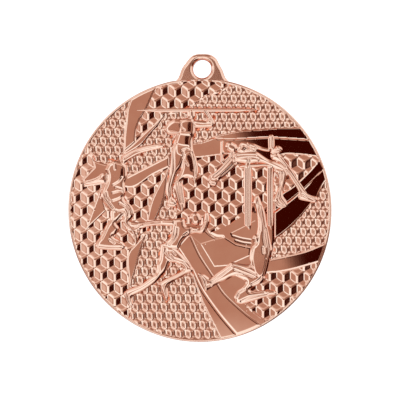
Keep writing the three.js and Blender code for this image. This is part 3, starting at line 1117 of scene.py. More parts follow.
@dataclass(frozen=True)
class Mass:
    """A part of a figure with one face: limbs that flow into each other, or an outline.

    Limbs are (x, z, radius, x, z, radius) in millimetres from the disc's centre.
    """

    limbs: tuple[tuple[float, ...], ...] = ()
    shape: Line = ()
    lift: float = 0.3
    width: float = 0.8
    blend: float = 0.5

    def depth(self, points: Array) -> Array:
        """Distance inside the mass.

        Args:
            points: places to measure, N by 2.

        Returns:
            N depths in millimetres.
        """
        found = np.full(len(points), -np.inf)
        for x0, z0, r0, x1, z1, r1 in self.limbs:
            start, run = np.array([x0, z0]), np.array([x1 - x0, z1 - z0])
            t = np.clip((points - start) @ run / max(run @ run, 1e-9), 0, 1)
            away = points - start - t[:, None] * run
            found = smooth_max(found, r0 + (r1 - r0) * t - np.hypot(away[:, 0], away[:, 1]), self.blend)
        if self.shape:
            ring = curve_through(self.shape + self.shape[:1], step=0.25)[:-1]
            found = smooth_max(found, polygon_depth(points, ring), self.blend)
        return found

    def height(self, points: Array) -> Array:
        """Height of the mass over the figure's foot."""
        return self.lift * rounded(self.depth(points), self.width)


@dataclass
class Relief:
    """A raised figure or object that stands on the grounds."""

    node: str
    masses: tuple[Mass, ...]
    creases: tuple[Crease, ...] = ()
    foot: float = -1.72
    size: float = 0.1
    edge_row: float = 0.1
    fade: float = 0.3
    margin: float = 2.5
    sharp_angle: float = 75.0

    def depth(self, points: Array) -> Array:
        """Distance inside the whole relief."""
        return np.max([mass.depth(points) for mass in self.masses], axis=0)

    def build(self, shop: Shop) -> None:
        """Cuts the relief's slab and models its front.

        Args:
            shop: where it is made.
        """
        corners = [np.array(m.shape, float) for m in self.masses if m.shape]
        corners += [np.array(m.limbs, float)[:, [0, 1, 3, 4]].reshape(-1, 2) for m in self.masses if m.limbs]
        places = np.vstack(corners)
        cut = Mesher.even(self.size, (0.0, self.edge_row))
        box = places.min(0) - self.margin, places.max(0) + self.margin
        flat, triangles, inside = cut.cut(self.depth, *box)
        height = np.max([mass.height(flat) for mass in self.masses], axis=0)
        fade = rounded(inside, self.fade)
        for crease in self.creases:
            height = height - crease.cut(flat) * fade
        piece = slab(self.node + "_plated", shop.seat, flat, triangles, self.foot - height)
        finish_shading(piece, self.sharp_angle)
        shop.hand_over(piece, self.node, Finish.RELIEF)


def body(lift: float, *shape: tuple[float, float], width: float = 0.8) -> Mass:
    """A mass inside one outline, with its lift and the width of its rounded edge."""
    return Mass(shape=shape, lift=lift, width=width)


def fold(depth: float, width: float, *line: tuple[float, float]) -> Crease:
    """A crease of some depth and width along a line."""
    return Crease(line, depth, width)


THROWER = Relief(
    "athlete_thrower",
    (
        # arm stretched ahead
        body(
            0.22, (-1.9, 17.2), (-3.2, 17.1), (-4.8, 17.2), (-6.0, 16.4), (-6.6, 15.3), (-5.8, 14.4),
            (-4.4, 14.3), (-2.6, 14.5), (-1.8, 15.6),
        ),
        # standing leg
        body(
            0.24, (-4.3, 14.2), (-4.8, 12.6), (-5.2, 11.0), (-5.3, 9.5), (-5.5, 8.0), (-5.7, 6.6),
            (-6.2, 5.0), (-6.2, 3.0), (-5.9, 1.8), (-6.0, 0.7), (-4.3, 0.8), (-4.4, 1.9), (-5.1, 2.6),
            (-5.0, 4.2), (-4.6, 5.6), (-4.0, 7.2), (-3.1, 8.6), (-2.6, 10.6), (-3.4, 12.0),
        ),
        # bent leg
        body(
            0.29, (-3.0, 11.2), (-1.6, 11.6), (-0.8, 10.6), (-0.3, 9.0), (-0.1, 7.6), (-0.3, 6.2),
            (-0.7, 5.0), (-1.5, 5.9), (-2.5, 6.1), (-3.3, 5.4), (-3.0, 4.6), (-2.8, 3.0), (-2.6, 1.6),
            (-2.7, 0.2), (-3.4, -0.2), (-3.9, 1.0), (-4.4, 2.6), (-4.8, 4.4), (-4.5, 5.6), (-3.8, 6.8),
            (-3.4, 8.0), (-3.3, 9.6),
        ),
        # trunk
        body(
            0.27, (-3.9, 17.0), (-2.6, 17.4), (-1.2, 17.3), (-0.7, 16.2), (-0.8, 14.6), (-1.2, 13.2),
            (-1.1, 11.6), (-1.0, 10.4), (-3.2, 9.8), (-4.6, 10.6), (-4.7, 12.6), (-4.3, 14.0),
            (-4.0, 15.4),
        ),
        # throwing arm
        body(
            0.26, (0.7, 19.2), (1.4, 19.3), (2.0, 18.5), (2.6, 17.5), (3.1, 16.5), (2.6, 15.8),
            (1.0, 15.6), (-0.9, 15.7), (-1.2, 16.9), (0.4, 17.0), (1.4, 16.9), (1.6, 17.3), (1.1, 18.1),
            (0.6, 18.7), width=0.6,
        ),
        # head
        Mass(((-1.45, 18.5, 0.8, -1.4, 17.9, 0.75),), lift=0.32),
    ),
    (
        fold(-0.08, 0.2, (-6.0, 14.8), (-4.4, 14.7), (-2.6, 14.5), (-1.8, 14.5)),
        fold(0.05, 0.6, (-1.15, 16.1), (-1.2, 14.3)),
        fold(0.05, 0.55, (-1.75, 13.7), (-1.8, 12.1)),
        fold(0.08, 0.14, (-4.3, 12.5), (-3.0, 12.2), (-2.0, 12.1)),
        fold(0.09, 0.14, (-3.2, 11.3), (-2.4, 11.7), (-1.8, 11.5)),
        fold(
            0.09, 0.15, (-4.55, 13.2), (-4.8, 11.0), (-4.75, 9.0), (-4.8, 7.4), (-5.3, 5.6), (-5.6, 4.0),
            (-5.5, 2.2),
        ),
        fold(0.1, 0.14, (-5.4, 1.3), (-4.4, 1.2)),
        fold(0.09, 0.14, (-1.3, 11.0), (-0.95, 9.4), (-0.75, 8.0), (-0.65, 6.4)),
        fold(0.045, 0.45, (-1.5, 10.1), (-1.15, 9.2), (-1.0, 7.9)),
        fold(0.09, 0.14, (-2.9, 11.0), (-2.9, 9.8), (-2.5, 9.1), (-2.1, 8.5)),
        fold(0.12, 0.14, (-4.2, 5.2), (-3.9, 3.6), (-3.4, 1.4)),
        fold(0.1, 0.12, (-3.6, 5.4), (-3.4, 3.6), (-3.05, 1.4)),
        fold(0.08, 0.13, (1.2, 18.8), (1.9, 17.7), (2.4, 16.7)),
        fold(0.08, 0.13, (-0.8, 16.5), (0.8, 16.3), (2.3, 16.4)),
        fold(0.07, 0.14, (-3.4, 16.8), (-3.4, 15.8), (-2.7, 15.2)),
    ),
)
JUMPER = Relief(
    "athlete_jumper",
    (
        # arm behind
        body(
            0.21, (-17.4, 7.0), (-18.4, 7.1), (-19.2, 6.5), (-20.4, 6.0), (-21.7, 5.6), (-21.8, 4.9),
            (-20.6, 4.9), (-19.2, 5.1), (-17.8, 5.2),
        ),
        # arm ahead
        body(
            0.22, (-14.3, 8.8), (-13.4, 9.5), (-12.1, 10.3), (-10.9, 10.9), (-9.3, 11.3), (-8.0, 11.6),
            (-6.6, 12.0), (-6.8, 12.6), (-8.6, 12.5), (-10.2, 12.2), (-11.8, 11.7), (-13.2, 11.1),
            (-14.5, 10.3), (-15.0, 9.4),
        ),
        # leg ahead
        body(
            0.24, (-15.0, 2.0), (-14.0, 1.8), (-13.1, 1.1), (-12.4, 0.1), (-12.4, -1.0), (-13.2, -2.2),
            (-12.5, -3.0), (-11.7, -3.8), (-11.5, -5.2), (-12.0, -6.5), (-12.6, -5.6), (-13.3, -4.2),
            (-13.9, -3.4), (-14.7, -2.2), (-14.4, -0.8), (-15.4, 0.4),
        ),
        # leg behind
        body(
            0.27, (-16.8, 0.4), (-15.0, 0.2), (-14.2, -0.6), (-15.0, -1.6), (-15.8, -2.4), (-15.2, -3.4),
            (-15.7, -4.4), (-16.3, -5.0), (-15.4, -5.6), (-14.6, -6.0), (-14.0, -6.8), (-14.8, -7.6),
            (-16.6, -7.6), (-18.2, -7.5), (-19.7, -7.2), (-19.5, -6.0), (-18.9, -5.2), (-18.2, -3.8),
            (-17.6, -2.8), (-16.9, -1.8), (-16.9, -0.8),
        ),
        # trunk
        body(
            0.3, (-17.9, 7.8), (-17.5, 6.4), (-17.8, 5.0), (-18.3, 4.0), (-18.7, 3.0), (-18.5, 1.9),
            (-17.7, 1.0), (-16.9, 0.0), (-16.2, -1.0), (-15.0, -0.6), (-13.6, 0.0), (-13.6, 1.2),
            (-14.2, 2.2), (-14.0, 3.6), (-14.1, 5.2), (-13.7, 6.6), (-13.8, 8.4), (-14.8, 9.2),
            (-16.0, 9.4), (-17.2, 8.9),
        ),
        # head
        Mass(((-16.0, 8.7, 0.75, -15.9, 7.8, 0.7),), lift=0.36),
    ),
    (
        fold(0.07, 0.14, (-18.9, 6.2), (-20.0, 5.6), (-21.4, 5.3)),
        fold(0.06, 0.14, (-14.1, 9.8), (-12.2, 10.9), (-10.4, 11.5), (-8.0, 12.0)),
        fold(
            0.09, 0.16, (-17.4, 6.8), (-17.3, 5.4), (-17.9, 4.0), (-17.9, 2.7), (-17.2, 1.5),
            (-16.3, 0.3),
        ),
        fold(0.08, 0.14, (-17.6, 3.4), (-17.4, 2.4), (-16.9, 1.7)),
        fold(0.08, 0.14, (-16.3, 4.8), (-15.2, 5.5), (-14.6, 6.2)),
        fold(0.09, 0.14, (-16.4, 3.3), (-15.3, 3.6), (-14.5, 3.5)),
        fold(0.08, 0.14, (-16.4, 1.8), (-15.3, 2.2), (-14.6, 2.6)),
        fold(0.12, 0.16, (-15.7, 4.3), (-14.7, 4.0)),
        fold(0.05, 0.5, (-14.2, 7.7), (-14.35, 6.3)),
        fold(0.11, 0.18, (-15.0, 1.3), (-14.1, 0.8), (-13.4, -0.1), (-13.5, -1.2)),
        fold(0.06, 0.13, (-14.0, 1.4), (-13.2, 0.5), (-12.9, -0.6)),
        fold(0.1, 0.15, (-15.8, 0.0), (-15.0, -0.3), (-14.3, -0.4), (-15.0, -1.3), (-15.7, -2.2)),
        fold(0.09, 0.15, (-17.3, -2.4), (-17.8, -4.0), (-18.5, -5.4)),
        fold(0.14, 0.2, (-16.9, -5.7), (-16.2, -6.2)),
        fold(0.08, 0.14, (-19.0, -6.8), (-16.8, -7.0), (-14.6, -7.0)),
        fold(0.08, 0.15, (-14.2, -2.6), (-13.2, -3.7), (-12.3, -5.2)),
    ),
)
HURDLER = Relief(
    "athlete_hurdler",
    (
        # trailing leg
        body(
            0.24, (14.3, 8.1), (15.6, 8.0), (16.5, 7.7), (16.8, 6.8), (16.4, 5.5), (16.0, 4.2),
            (15.9, 2.9), (16.7, 1.6), (16.6, 0.7), (15.6, 0.4), (14.5, 0.8), (13.9, 1.8), (14.3, 2.8),
            (15.0, 4.2), (15.1, 5.6), (14.8, 6.8), (14.1, 7.4), width=0.7,
        ),
        # leading leg
        body(
            0.27, (13.5, 10.6), (14.8, 10.9), (15.6, 10.2), (16.6, 8.9), (17.5, 7.8), (18.5, 6.1),
            (19.6, 4.5), (20.6, 3.1), (22.3, 2.5), (22.1, 1.5), (20.6, 1.7), (18.8, 2.2), (18.8, 3.4),
            (18.0, 5.0), (16.8, 6.7), (16.0, 8.2), (14.8, 9.2), (13.7, 9.7),
        ),
        # far forearm
        body(
            0.21, (9.0, 12.9), (10.4, 12.6), (11.8, 12.0), (13.3, 11.6), (13.4, 11.1), (12.2, 11.2),
            (10.9, 11.6), (9.4, 12.0), width=0.5,
        ),
        # raised hand
        body(0.24, (13.1, 11.6), (13.1, 13.8), (13.6, 14.3), (14.2, 13.9), (14.2, 11.6), width=0.5),
        # wrist
        body(
            0.29, (13.5, 10.7), (13.6, 11.3), (14.3, 11.7), (14.6, 12.2), (15.3, 12.1), (15.8, 11.5),
            (15.4, 10.9), (14.6, 10.8), width=0.6,
        ),
        # near arm
        body(
            0.26, (7.0, 9.2), (6.3, 10.7), (5.4, 9.7), (4.4, 8.5), (3.2, 7.4), (2.0, 6.7), (1.6, 5.7),
            (2.1, 4.8), (3.2, 4.7), (3.8, 5.6), (4.7, 6.4), (5.9, 7.4), (7.0, 8.4),
        ),
        # shoulder
        body(
            0.26, (7.2, 11.1), (7.5, 12.2), (8.2, 12.9), (9.2, 12.9), (9.9, 12.4), (10.9, 12.3),
            (11.0, 11.2), (9.5, 10.9), (8.5, 10.7), width=0.6,
        ),
        # trunk and thigh
        body(
            0.3, (6.2, 9.9), (6.6, 10.9), (9.0, 11.2), (10.8, 11.1), (11.8, 10.5), (13.0, 9.7),
            (14.2, 9.3), (15.3, 8.8), (16.4, 7.9), (16.2, 7.2), (15.2, 7.5), (14.2, 7.9), (13.4, 8.3),
            (12.2, 8.9), (10.8, 9.0), (9.6, 8.8), (8.4, 8.9), (7.0, 9.2),
        ),
        # hand and thumb
        Mass(
            (
                (4.35, 9.2, 0.32, 4.35, 12.9, 0.32), (4.5, 9.0, 0.2, 6.2, 10.6, 0.2),
                (6.1, 10.8, 0.2, 4.5, 10.9, 0.2),
            ),
            lift=0.24,
            width=0.5,
        ),
        # head
        Mass(((5.9, 12.1, 0.95, 6.4, 11.8, 0.95),), lift=0.36),
    ),
    (
        fold(0.12, 0.15, (7.6, 11.5), (8.2, 12.3), (9.0, 12.1), (9.6, 11.5)),
        fold(0.12, 0.15, (8.6, 11.3), (9.4, 11.8), (10.5, 11.4)),
        fold(0.1, 0.14, (9.7, 12.2), (10.2, 11.9), (10.8, 11.9)),
        fold(0.1, 0.12, (13.45, 11.9), (13.45, 13.8)),
        fold(0.1, 0.12, (13.85, 11.9), (13.85, 13.8)),
        fold(0.1, 0.14, (13.8, 11.1), (14.6, 11.4), (15.4, 11.4)),
        fold(0.1, 0.14, (7.2, 10.3), (8.5, 10.4), (10.8, 10.4)),
        fold(0.1, 0.14, (7.2, 9.6), (8.4, 9.9), (10.0, 10.0), (11.3, 9.7), (11.4, 9.3)),
        fold(0.08, 0.1, (9.2, 9.1), (9.3, 9.8)),
        fold(0.08, 0.1, (9.6, 9.1), (9.7, 9.8)),
        fold(0.09, 0.14, (6.3, 9.9), (5.2, 8.6), (3.8, 7.2), (2.8, 6.4)),
        fold(0.09, 0.14, (6.8, 9.0), (5.6, 7.8), (4.2, 6.6)),
        fold(0.1, 0.15, (2.1, 6.0), (2.8, 5.7), (3.4, 5.8)),
        fold(0.1, 0.15, (2.2, 5.3), (3.0, 5.1)),
        fold(0.14, 0.15, (15.9, 7.0), (15.75, 5.8), (15.5, 4.6)),
        fold(0.1, 0.13, (15.35, 7.1), (15.4, 5.4), (15.2, 3.6), (15.0, 2.6)),
        fold(0.16, 0.17, (15.1, 2.4), (15.3, 1.8), (15.9, 1.2)),
        fold(0.1, 0.13, (14.5, 1.7), (15.1, 1.0), (16.2, 0.9)),
        fold(0.1, 0.15, (15.4, 9.9), (16.6, 8.3), (17.6, 6.8), (18.8, 5.0), (20.0, 3.4), (21.6, 2.4)),
        fold(0.09, 0.15, (16.6, 7.9), (17.6, 6.1), (18.9, 4.1), (19.4, 2.8)),
        fold(0.14, 0.2, (19.6, 3.1), (20.6, 2.4), (21.6, 2.0)),
    ),
)
SPRINTER = Relief(
    "athlete_sprinter",
    (
        # arm ahead
        body(
            0.22, (-4.6, -1.7), (-6.5, -1.75), (-8.2, -1.85), (-10.2, -2.2), (-11.6, -2.3), (-13.2, -2.1),
            (-13.9, -3.2), (-13.6, -4.4), (-12.6, -5.1), (-11.4, -4.6), (-11.0, -3.6), (-9.2, -3.0),
            (-7.4, -2.85), (-4.8, -2.9), width=0.6,
        ),
        # driving leg
        body(
            0.24, (-7.2, -6.4), (-7.4, -8.0), (-7.6, -9.5), (-8.0, -10.5), (-8.1, -12.0), (-9.3, -12.9),
            (-11.0, -14.1), (-13.2, -15.0), (-14.2, -15.7), (-14.0, -17.0), (-13.2, -18.4),
            (-12.6, -18.0), (-12.7, -16.7), (-12.2, -16.1), (-10.0, -14.9), (-8.1, -13.6), (-7.0, -12.4),
            (-6.1, -11.3), (-5.5, -9.8), (-4.6, -8.2), (-5.4, -6.9),
        ),
        # raised leg
        body(
            0.29, (-6.3, -6.8), (-5.2, -6.9), (-4.3, -7.4), (-3.0, -8.6), (-2.2, -9.6), (-1.1, -11.0),
            (-1.2, -11.6), (-2.3, -12.1), (-3.6, -12.8), (-5.0, -13.6), (-5.8, -14.5), (-5.8, -16.6),
            (-6.3, -17.2), (-6.9, -15.6), (-7.6, -14.0), (-6.6, -13.2), (-4.8, -12.3), (-3.4, -11.6),
            (-3.0, -11.1), (-3.5, -10.4), (-4.6, -9.9), (-5.8, -9.8), (-6.8, -9.0),
        ),
        # trunk
        body(
            0.3, (-4.9, -1.7), (-3.4, -1.5), (-2.7, -1.8), (-2.4, -2.8), (-1.3, -3.1), (-1.6, -4.4),
            (-2.6, -5.2), (-3.2, -6.0), (-3.9, -7.3), (-5.4, -7.3), (-7.2, -6.6), (-6.2, -6.0),
            (-5.5, -5.1), (-5.1, -4.0), (-5.0, -2.8),
        ),
        # arm behind
        body(
            0.27, (-1.6, -3.0), (-0.6, -3.1), (0.2, -3.3), (0.8, -2.6), (1.0, -1.4), (1.2, -0.3),
            (1.9, -0.7), (2.0, -2.1), (1.5, -3.6), (0.5, -4.4), (-0.6, -4.3), (-1.6, -4.4), width=0.6,
        ),
        # head
        Mass(((-0.7, -1.4, 1.1, -0.6, -1.7, 1.1),), lift=0.36),
    ),
    (
        fold(0.06, 0.13, (-10.6, -2.7), (-9.0, -2.45), (-7.2, -2.3)),
        fold(0.1, 0.16, (-13.4, -2.9), (-12.3, -3.2), (-11.6, -2.9)),
        fold(0.1, 0.16, (-13.3, -3.8), (-12.3, -4.1), (-11.5, -3.8)),
        fold(0.11, 0.15, (-4.5, -3.0), (-4.7, -4.6), (-5.2, -5.6), (-6.1, -6.4)),
        fold(0.09, 0.15, (-4.0, -3.4), (-4.15, -4.7), (-4.8, -5.8), (-5.6, -6.6)),
        fold(0.12, 0.15, (-2.1, -4.2), (-2.8, -4.7)),
        fold(0.1, 0.15, (-5.4, -8.5), (-4.8, -9.1), (-3.6, -9.5), (-2.6, -9.9), (-1.8, -10.8)),
        fold(0.09, 0.14, (-5.7, -7.8), (-5.0, -7.8), (-4.5, -8.4)),
        fold(0.09, 0.14, (-6.4, -8.0), (-5.9, -8.8), (-5.0, -9.4)),
        fold(0.06, 0.14, (-6.2, -6.9), (-6.4, -7.9)),
        fold(0.1, 0.15, (-13.9, -15.9), (-13.5, -16.9), (-13.0, -18.0)),
        fold(0.08, 0.13, (-6.9, -14.2), (-6.5, -15.6), (-6.2, -16.6)),
        fold(0.1, 0.15, (-1.2, -3.7), (-0.2, -3.8), (0.6, -3.4), (1.3, -2.0)),
        fold(0.04, 0.4, (0.3, -3.6), (0.35, -4.4)),
        fold(0.05, 0.25, (-1.9, -2.6), (-1.2, -3.0), (-0.6, -3.1)),
    ),
)
LEAPER = Relief(
    "athlete_leaper",
    (
        # folded leg
        body(
            0.24, (6.2, -12.2), (7.5, -12.7), (8.8, -13.5), (8.3, -14.5), (7.3, -15.2), (6.7, -16.3),
            (6.9, -17.3), (7.8, -17.7), (9.0, -17.5), (11.0, -16.9), (13.0, -16.2), (14.7, -15.8),
            (14.3, -15.2), (12.6, -15.1), (10.6, -15.3), (9.7, -15.1), (10.2, -14.5), (11.8, -13.8),
            (12.6, -12.8), (11.8, -11.8), (9.0, -11.8),
        ),
        # leading leg
        body(
            0.29, (11.2, -9.7), (9.4, -10.2), (7.8, -10.1), (6.2, -9.8), (5.2, -10.6), (3.4, -11.9),
            (2.2, -12.8), (1.0, -12.1), (-0.2, -11.9), (0.2, -13.4), (0.7, -14.6), (1.3, -15.3),
            (2.4, -14.6), (3.8, -13.8), (5.2, -13.2), (6.6, -12.5), (8.0, -12.3), (9.6, -12.7),
            (11.2, -12.9),
        ),
        # trunk and raised arm
        body(
            0.32, (10.5, 2.6), (11.2, 2.9), (11.8, 1.6), (12.5, -0.3), (12.8, -2.0), (13.2, -4.0),
            (13.6, -6.0), (13.9, -7.4), (13.4, -9.2), (13.0, -11.0), (12.5, -12.4), (11.5, -13.0),
            (10.4, -12.2), (9.9, -10.8), (9.6, -9.0), (9.9, -7.1), (10.7, -6.2), (10.8, -5.0),
            (11.1, -3.4), (11.1, -2.0), (10.8, 0.0), (10.3, 1.4),
        ),
        # head
        Mass(((10.9, -5.3, 0.8, 10.9, -5.7, 0.7),), lift=0.36),
    ),
    (
        fold(0.08, 0.15, (11.0, 2.2), (11.2, 0.0), (11.6, -2.0), (11.6, -3.8)),
        fold(0.08, 0.15, (11.7, 0.8), (12.0, -1.0), (12.3, -3.0), (12.3, -5.0), (12.6, -6.8)),
        fold(0.08, 0.14, (12.7, -3.4), (13.0, -5.4), (13.2, -7.2), (12.8, -9.0)),
        fold(0.14, 0.16, (12.2, -7.0), (12.3, -8.0)),
        fold(0.09, 0.14, (10.3, -7.3), (10.0, -9.0), (10.2, -10.8)),
        fold(0.1, 0.15, (6.5, -10.4), (8.0, -10.8), (9.5, -11.4), (10.8, -12.1)),
        fold(0.1, 0.14, (6.8, -11.2), (8.0, -11.7), (9.0, -12.1), (10.2, -12.6)),
        fold(0.08, 0.15, (6.2, -10.9), (5.4, -11.5), (4.0, -12.6), (2.4, -13.7)),
        fold(0.14, 0.18, (1.6, -14.4), (2.2, -14.2)),
        fold(0.07, 0.14, (0.4, -12.4), (1.1, -13.2), (1.3, -14.2)),
        fold(0.13, 0.19, (8.0, -17.2), (9.2, -16.6), (10.5, -16.2), (12.9, -15.7)),
        fold(0.08, 0.12, (9.8, -15.3), (10.8, -15.6), (12.4, -15.5)),
        fold(0.1, 0.15, (10.0, -13.9), (11.2, -13.2), (11.8, -12.6)),
        fold(0.14, 0.16, (7.7, -13.9), (8.1, -13.4), (7.2, -13.0)),
        fold(0.08, 0.15, (7.3, -16.4), (7.6, -15.7), (8.6, -15.0)),
    ),
)
JAVELIN = Relief(
    "javelin",
    (
        Mass(
            (
                (-11.7, 18.95, 0.06, -8.0, 18.95, 0.34), (-8.0, 18.95, 0.34, 7.5, 18.95, 0.34),
                (7.5, 18.95, 0.34, 10.9, 18.95, 0.06),
            ),
            lift=0.07,
            width=0.34,
            blend=0.05,
        ),
    ),
    foot=-1.85,
)
HURDLE = Relief(
    "hurdle",
    (
        # left post
        body(0.2, (8.6, -2.9), (9.9, -2.9), (9.9, 8.2), (8.6, 8.2), width=0.4),
        # right post
        body(0.2, (12.9, -2.9), (14.0, -2.9), (14.0, 8.2), (12.9, 8.2), width=0.4),
        # top bar
        body(
            0.24, (7.2, 7.9), (8.4, 8.1), (10.6, 8.1), (12.4, 8.3), (14.0, 8.0), (13.9, 8.8), (10.8, 8.9),
            (8.2, 8.6), width=0.45,
        ),
    ),
    (
        fold(0.08, 0.11, (8.98, -2.8), (8.98, 8.0)),
        fold(0.08, 0.11, (9.4, -2.8), (9.4, 8.0)),
        fold(0.08, 0.11, (13.3, -2.8), (13.3, 8.0)),
        fold(0.06, 0.1, (13.65, -2.8), (13.65, 8.0)),
    ),
)


# ---------------------------------------------------------------- studio


class Along(Enum):
    """The direction along which a row of panels changes, as its parts to the right and up."""

    LEVEL = (1.0, 0.0)
    SLANT = (0.93, 0.37)


@dataclass(frozen=True)
class Row:
    """One row of panels on the wall in front of the medal.

    It fades in from start to end over the row below it, both as heights from -1 to 1. Its stops give its
    brightness from left to right.
    """

    start: float
    end: float
    along: Along
    stops: Line


@dataclass
class Studio:
    """A pale room with soft panels, a floor and a camera."""

    seat: Seat
    lens: float = 120.0
    sensor: float = 36.0
    frame_width: float = 76.2
    azimuth: float = 4.0
    elevation: float = 1.0
    aim: tuple[float, float] = (0.09, 1.92)
    clip: tuple[float, float] = (0.01, 20.0)
    floor_gap: float = 14.0
    floor_size: float = 4.0
    floor_colour: str = "F6F5F3"
    brightest: float = 2.4
    strongest: float = 3.3
    fill: float = 0.4
    behind: tuple[float, float] = (0.45, 1.3)
    behind_heights: tuple[float, float] = (-0.6, 0.6)
    corner: tuple[float, float] = (-0.05, 0.15)
    rows: tuple[Row, ...] = (
        Row(-1, -0.9, Along.LEVEL, ((-1, 1.0), (-0.5, 1.4), (0.2, 1.4), (0.35, 0.1), (1, 0.05))),
        Row(
            -0.75,
            -0.65,
            Along.LEVEL,
            (
                (-1, 0.35), (-0.76, 0.3), (-0.72, 1.3), (-0.66, 1.1), (-0.6, 0.5), (-0.45, 0.6),
                (-0.39, 2.3), (0.2, 2.2), (0.26, 1.2), (0.33, 0.03), (0.53, 0.03), (0.58, 0.4),
                (0.735, 0.4), (0.76, 0.05), (1, 0.05),
            ),
        ),
        Row(
            -0.2,
            -0.1,
            Along.SLANT,
            (
                (-1, 2.2), (-0.62, 2.0), (-0.56, 0.8), (-0.5, 0.8), (-0.42, 2.3), (-0.22, 2.3),
                (-0.19, 0.52), (-0.03, 0.5), (-0.02, 0.03), (0.1, 0.03), (0.14, 0.5), (0.3, 0.4),
                (0.37, 0.03), (0.43, 0.03), (0.5, 1.6), (1, 1.6),
            ),
        ),
        Row(
            0.13,
            0.2,
            Along.LEVEL,
            (
                (-1, 1.3), (-0.55, 0.8), (-0.42, 2.3), (-0.2, 2.3), (-0.12, 1.3), (0.1, 1.1),
                (0.2, 0.4), (0.3, 0.3), (0.37, 1.8), (1, 1.6),
            ),
        ),
        Row(
            0.42,
            0.5,
            Along.LEVEL,
            ((-1, 1.5), (-0.14, 1.5), (-0.1, 0.52), (0.16, 0.44), (0.24, 2.0), (1, 1.6)),
        ),
        Row(0.7, 0.8, Along.LEVEL, ((-1, 0.9), (-0.5, 0.6), (-0.3, 0.3), (0.2, 0.3), (0.35, 1.2), (1, 1.2))),
    )
    # Brightness and the light that it stands for: dark panels are warm and bright ones cool.
    tones: Stops = (
        (0.0, (0.03, 0.003, 0.0)),
        (0.05, (0.045, 0.005, 0.0005)),
        (0.5, (0.5, 0.52, 0.54)),
        (1.2, (0.84, 1.2, 1.47)),
        (2.4, (1.2, 2.35, 3.3)),
    )

    def camera(self) -> None:
        """Sets up the camera in front of the medal."""
        data = bpy.data.cameras.new("studio_camera")
        data.lens, data.sensor_width = self.lens, self.sensor
        data.clip_start, data.clip_end = self.clip
        made = bpy.data.objects.new("studio_camera", data)
        bpy.context.scene.collection.objects.link(made)
        turn, rise = math.radians(self.azimuth), math.radians(self.elevation)
        back = Vector((math.sin(turn) * math.cos(rise), -math.cos(turn) * math.cos(rise), math.sin(rise)))
        target = Vector((self.seat.x + self.aim[0] * MM, 0, self.seat.z + self.aim[1] * MM))
        distance = self.frame_width * MM * self.lens / self.sensor
        made.location = target + back * distance
        made.rotation_mode = "QUATERNION"
        made.rotation_quaternion = (-back).to_track_quat("-Z", "Y")
        bpy.context.scene.camera = made

    def floor(self, lowest: float) -> None:
        """Lays a pale floor below the medal.

        Args:
            lowest: z of the medal's lowest point.
        """
        size, z = self.floor_size, lowest - self.floor_gap * MM
        corners = [(-size, -size, z), (size, -size, z), (size, size, z), (-size, size, z)]
        mesh = bpy.data.meshes.new("floor")
        mesh.from_pydata(corners, [], [(0, 1, 2, 3)])
        made = bpy.data.objects.new("floor", mesh)
        bpy.context.scene.collection.objects.link(made)
        paint = bpy.data.materials.new("matt_white_floor")
        paint.use_nodes = True
        shader = paint.node_tree.nodes["Principled BSDF"]
        shader.inputs["Base Color"].default_value = srgb(self.floor_colour)
        shader.inputs["Roughness"].default_value = 1.0
        mesh.materials.append(paint)
        made.visible_glossy = False
        made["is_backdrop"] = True

    def panels(self, tree: Tree) -> Socket:
        """Brightness of the room's walls, as reflections see them.

        Args:
            tree: the world's tree.

        Returns:
            The brightness.
        """
        place = tree.add("ShaderNodeTexCoord").outputs["Generated"]
        split = tree.add("ShaderNodeSeparateXYZ", None, Vector=place).outputs
        front = None
        for row in self.rows:
            right, up = row.along.value
            across = tree.math("MULTIPLY_ADD", split[0], right, tree.math("MULTIPLY", split[2], up))
            level = tree.ramp(across, -1, 1, row.stops)
            if front is None:
                front = level
            else:
                front = tree.mix(tree.share(split[2], row.start, row.end), front, level)
        low, high = self.behind
        behind = tree.math("MULTIPLY_ADD", tree.share(split[2], *self.behind_heights), high - low, low)
        return tree.mix(tree.share(split[1], *self.corner), front, behind)

    def light(self) -> None:
        """Lights the room with panels on its walls and an even fill."""
        world = bpy.data.worlds.new("studio_room")
        world.use_nodes = True
        world.node_tree.nodes.clear()
        tree = Tree(world.node_tree)
        tones = [(level / self.brightest, [c / self.strongest for c in light]) for level, light in self.tones]
        tone = tree.colours(tree.math("DIVIDE", self.panels(tree), self.brightest), tones)
        glossy = tree.add("ShaderNodeLightPath").outputs["Is Glossy Ray"]
        plain = (self.fill, self.fill, self.fill, 1.0)
        colour = tree.add("ShaderNodeMix", {"data_type": "RGBA"}, _0=glossy, _6=plain, _7=tone).outputs[2]
        shade = tree.add("ShaderNodeBackground", None, Color=colour, Strength=self.strongest)
        tree.add("ShaderNodeOutputWorld", None, Surface=shade.outputs[0])
        bpy.context.scene.world = world
        bpy.context.scene.view_settings.view_transform = "Standard"


# ---------------------------------------------------------------- assembly


